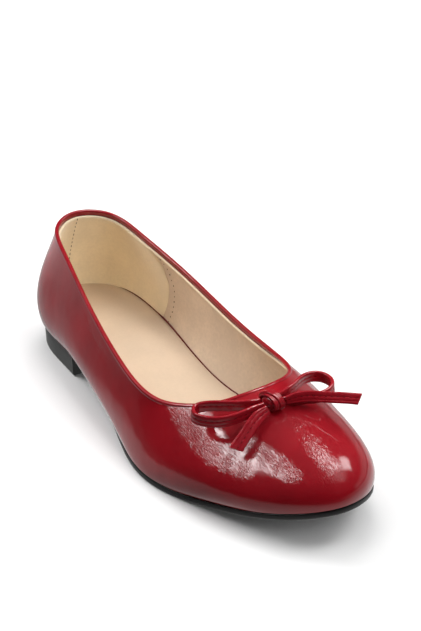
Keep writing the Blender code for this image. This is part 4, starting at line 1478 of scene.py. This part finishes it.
def build_reflections(share):
    """The dome with its soft windows, and the paper's light, which also lights the shoe from below."""
    turns = np.arange(-180.0, 180.1, 2.0)
    rises = np.arange(-1.0, 90.1, 1.75)
    centre = Vector(LIT_POINT)
    points = []
    glow = []
    for rise in rises:
        for turn in turns:
            point = centre + direction(turn, rise) * DOME_RADIUS
            points.append((point.x, point.y, max(point.z, 0.002)))
            glow.append(window_light(turn, rise))
    faces = grid_faces(len(rises), len(turns))
    reflected_only("dome", points, faces, glow, glowing("dome_light", share))

    table = np.array(PAPER_LIGHT, dtype=float)
    column = {name: table[:, k] for k, name in enumerate(PAPER_COLUMNS)}
    points = []
    glow = []
    radii = np.concatenate([np.arange(0.005, 0.20, 0.015), np.arange(0.20, 0.76, 0.05)])
    for radius in radii:
        for turn in turns:
            a = math.radians(turn)
            points.append((LIT_POINT[0] + radius * math.cos(a), radius * math.sin(a), -PAPER_DEPTH))
            near = np.interp(turn, column["azimuth"], column["near"])
            middle = np.interp(turn, column["azimuth"], column["middle"])
            far = np.interp(turn, column["azimuth"], column["far"])
            rings = (near, near, middle, middle, far, far, 0.0)
            glow.append(float(np.interp(radius, PAPER_RINGS, rings)))
    faces = grid_faces(len(radii), len(turns))
    paper = reflected_only("paper_light", points, faces, glow, glowing("paper_light", share))
    paper.visible_diffuse = True


def build_backdrop():
    """A pale wall far round the shoe, which only the camera sees."""
    finish, _, shader = new_finish("backdrop_paper", (0.0, 0.0, 0.0), 1.0, specular=0.0)
    shader.inputs["Emission Color"].default_value = WHITE
    shader.inputs["Emission Strength"].default_value = BACKDROP_GLOW
    turns = np.radians(np.arange(0, 361, 10))
    points = []
    for height in (-0.1, BACKDROP_HEIGHT):
        points += [(BACKDROP_RADIUS * math.cos(a), BACKDROP_RADIUS * math.sin(a), height) for a in turns]
    wall = stage_mesh("backdrop", points, grid_faces(2, len(turns)), finish)
    wall.visible_diffuse = False
    wall.visible_glossy = False
    wall.visible_shadow = False


def build_floor(color, near_glow):
    """Pale paper that takes the shadow, evenly bright far off, and is kept out of the reflections."""
    finish, tree, shader = new_finish("floor_paper", color, 0.8, specular=0.0)
    shader.inputs["Emission Color"].default_value = WHITE
    away = node(tree, "ShaderNodeVectorMath", {"operation": "LENGTH"}, Vector=object_place(tree))
    glow = between(tree, away.outputs["Value"], GLOW_START, GLOW_FULL)
    glow = calculate(tree, "MULTIPLY", glow, FAR_GLOW)
    tree.links.new(calculate(tree, "ADD", glow, near_glow), shader.inputs["Emission Strength"])
    far = FLOOR_REACH
    corners = [(-far, -far, 0.0), (far, -far, 0.0), (far, far, 0.0), (-far, far, 0.0)]
    floor = stage_mesh("floor", corners, [(0, 1, 2, 3)], finish)
    floor.visible_glossy = False
    floor.visible_diffuse = False
    floor.visible_shadow = False


def build_stage(context, stage):
    """Floor, backdrop, what the patent reflects, lamps and camera."""
    scene = context.scene
    scene.view_settings.view_transform = "Standard"
    build_floor(stage.floor_color, stage.floor_glow)
    build_backdrop()
    build_reflections(stage.dome_share)

    world = bpy.data.worlds.new("studio")
    world.use_nodes = True
    ground = world.node_tree.nodes["Background"]
    ground.inputs["Color"].default_value = WHITE
    ground.inputs["Strength"].default_value = stage.room_light
    scene.world = world
    for name, row in LAMPS.items():
        place_lamp(scene, name, row, stage.lamp_share)
    place_camera(scene)


def length(name, description, default):
    """A length in metres."""
    return bpy.props.FloatProperty(
        name=name, description=description, default=default, min=0.0,
        precision=5, subtype="DISTANCE", unit="LENGTH",
    )


def colour(name, description, default):
    """A colour in linear RGB."""
    return bpy.props.FloatVectorProperty(
        name=name, description=description, default=default, min=0.0, max=1.0, size=3, subtype="COLOR",
    )


def strength(name, description, default):
    """How strong a light is."""
    return bpy.props.FloatProperty(
        name=name, description=description, default=default, min=0.0, subtype="FACTOR",
    )


class FlatSizes(bpy.types.PropertyGroup):
    """Sizes of the finer work"""

    crinkle_depth: length("Crinkle depth", "Depth of the fine crinkles in the patent", 0.00018)
    stitch_pitch: length("Stitch pitch", "From one stitch to the next", 0.0026)
    thread_width: length("Thread width", "Width of the sewing thread", 0.00042)
    hole_pitch: length("Hole pitch", "From one pricked hole to the next", 0.0028)
    hole_width: length("Hole width", "Width of a pricked hole in the lining", 0.0006)


class FlatColours(bpy.types.PropertyGroup):
    """Colours of the leathers, rubber and thread"""

    patent: colour("Patent", "Patent leather of the upper", (0.255, 0.0035, 0.0090))
    binding: colour("Binding", "Patent strip over the topline", (0.265, 0.0050, 0.0115))
    bow: colour("Bow", "Patent strip of the bow", (0.290, 0.0065, 0.0140))
    lining: colour("Lining", "Lining leather", (0.740, 0.590, 0.440))
    cut_edge: colour("Lining edge", "Raw cut edge of the lining", (0.800, 0.640, 0.450))
    heel_lining: colour("Heel lining", "Suede lining at the heel", (0.950, 0.820, 0.580))
    sock: colour("Sock", "Sock leather", (0.595, 0.455, 0.325))
    sock_edge: colour("Sock edge", "Dark line round the sock", (0.110, 0.012, 0.012))
    sole: colour("Sole", "Rubber of the outsole", (0.005, 0.004, 0.004))
    heel: colour("Heel", "Rubber of the heel", (0.021, 0.022, 0.021))
    thread: colour("Bow thread", "Thread in the bow", (0.110, 0.003, 0.006))
    seam_thread: colour("Seam thread", "Thread of the lining's back seam", (0.180, 0.110, 0.060))
    # Painted shade: this dark colour stands for the shade inside the pricked holes.
    hole_shade: colour("Holes", "Inside of the pricked holes", (0.100, 0.060, 0.030))


class FlatStage(bpy.types.PropertyGroup):
    """Floor and light"""

    floor_color: colour("Floor", "Pale paper that the shoe stands on", (0.74, 0.74, 0.74))
    room_light: strength("Room light", "Light from all round", 0.03)
    floor_glow: strength("Floor glow", "Light that comes through the floor's paper", 0.03)
    dome_share: strength("Reflections", "What the patent reflects, as a share of its usual light", 1.0)
    lamp_share: strength("Softboxes", "The lamps, as a share of their usual light", 1.0)


class FlatOperator:
    """What the operators for the pieces share"""

    bl_options = {"REGISTER", "UNDO"}
    build = None

    def execute(self, context):
        scene = context.scene
        type(self).build(Wall(), scene.flat_sizes, scene.flat_colours)
        return {"FINISHED"}


class FLAT_OT_upper(FlatOperator, bpy.types.Operator):
    """Make the patent outside with its folds and crinkles"""

    bl_idname = "flat.upper"
    bl_label = "Patent upper"
    build = staticmethod(build_upper)


class FLAT_OT_linings(FlatOperator, bpy.types.Operator):
    """Make the lining and the heel lining"""

    bl_idname = "flat.linings"
    bl_label = "Linings"
    build = staticmethod(build_linings)


class FLAT_OT_lining_marks(FlatOperator, bpy.types.Operator):
    """Make the pricked holes and the back seam's stitches"""

    bl_idname = "flat.lining_marks"
    bl_label = "Lining holes and stitches"
    build = staticmethod(build_lining_marks)


class FLAT_OT_binding(FlatOperator, bpy.types.Operator):
    """Make the strip folded over the topline"""

    bl_idname = "flat.binding"
    bl_label = "Topline binding"
    build = staticmethod(build_binding)


class FLAT_OT_sock(FlatOperator, bpy.types.Operator):
    """Make the sock and the dark line round it"""

    bl_idname = "flat.sock"
    bl_label = "Sock"
    build = staticmethod(build_sock)


class FLAT_OT_outsole(FlatOperator, bpy.types.Operator):
    """Make the outsole with its rounded edge"""

    bl_idname = "flat.outsole"
    bl_label = "Outsole"
    build = staticmethod(build_outsole)


class FLAT_OT_heel(FlatOperator, bpy.types.Operator):
    """Make the low heel"""

    bl_idname = "flat.heel"
    bl_label = "Heel"
    build = staticmethod(build_heel)


class FLAT_OT_bow(FlatOperator, bpy.types.Operator):
    """Make the bow's loops, ends and knot"""

    bl_idname = "flat.bow"
    bl_label = "Bow"
    build = staticmethod(build_bow)


class FLAT_OT_bow_stitches(FlatOperator, bpy.types.Operator):
    """Make the stitches along the bow's strips"""

    bl_idname = "flat.bow_stitches"
    bl_label = "Bow stitches"
    build = staticmethod(build_bow_stitches)


class FLAT_OT_stage(bpy.types.Operator):
    """Make the floor, backdrop, reflections, lamps and camera"""

    bl_idname = "flat.stage"
    bl_label = "Stage"
    bl_options = {"REGISTER", "UNDO"}

    def execute(self, context):
        build_stage(context, context.scene.flat_stage)
        return {"FINISHED"}


OPERATORS = (
    FLAT_OT_upper, FLAT_OT_linings, FLAT_OT_lining_marks, FLAT_OT_binding, FLAT_OT_sock,
    FLAT_OT_outsole, FLAT_OT_heel, FLAT_OT_bow, FLAT_OT_bow_stitches, FLAT_OT_stage,
)


class FLAT_PT_panel(bpy.types.Panel):
    """Sizes, colours and pieces of the flat"""

    bl_idname = "FLAT_PT_panel"
    bl_label = "Ballet flat"
    bl_space_type = "VIEW_3D"
    bl_region_type = "UI"
    bl_category = "Flat"

    def draw(self, context):
        scene = context.scene
        for group in (scene.flat_sizes, scene.flat_colours, scene.flat_stage):
            box = self.layout.box()
            for name in type(group).__annotations__:
                box.prop(group, name)
        for operator in OPERATORS:
            self.layout.operator(operator.bl_idname)


GROUPS = {"flat_sizes": FlatSizes, "flat_colours": FlatColours, "flat_stage": FlatStage}


def register():
    """Makes the classes known and gives the scene its properties."""
    for group in GROUPS.values():
        bpy.utils.register_class(group)
    for operator in OPERATORS:
        bpy.utils.register_class(operator)
    bpy.utils.register_class(FLAT_PT_panel)
    for name, group in GROUPS.items():
        setattr(bpy.types.Scene, name, bpy.props.PointerProperty(type=group))


def unregister():
    """Takes the properties and classes away again."""
    for name in GROUPS:
        delattr(bpy.types.Scene, name)
    bpy.utils.unregister_class(FLAT_PT_panel)
    for operator in reversed(OPERATORS):
        bpy.utils.unregister_class(operator)
    for group in GROUPS.values():
        bpy.utils.unregister_class(group)


def main():
    """Makes every piece and the stage."""
    register()
    for operator in OPERATORS:
        group, name = operator.bl_idname.split(".")
        getattr(getattr(bpy.ops, group), name)()


if __name__ == "__main__":
    main()
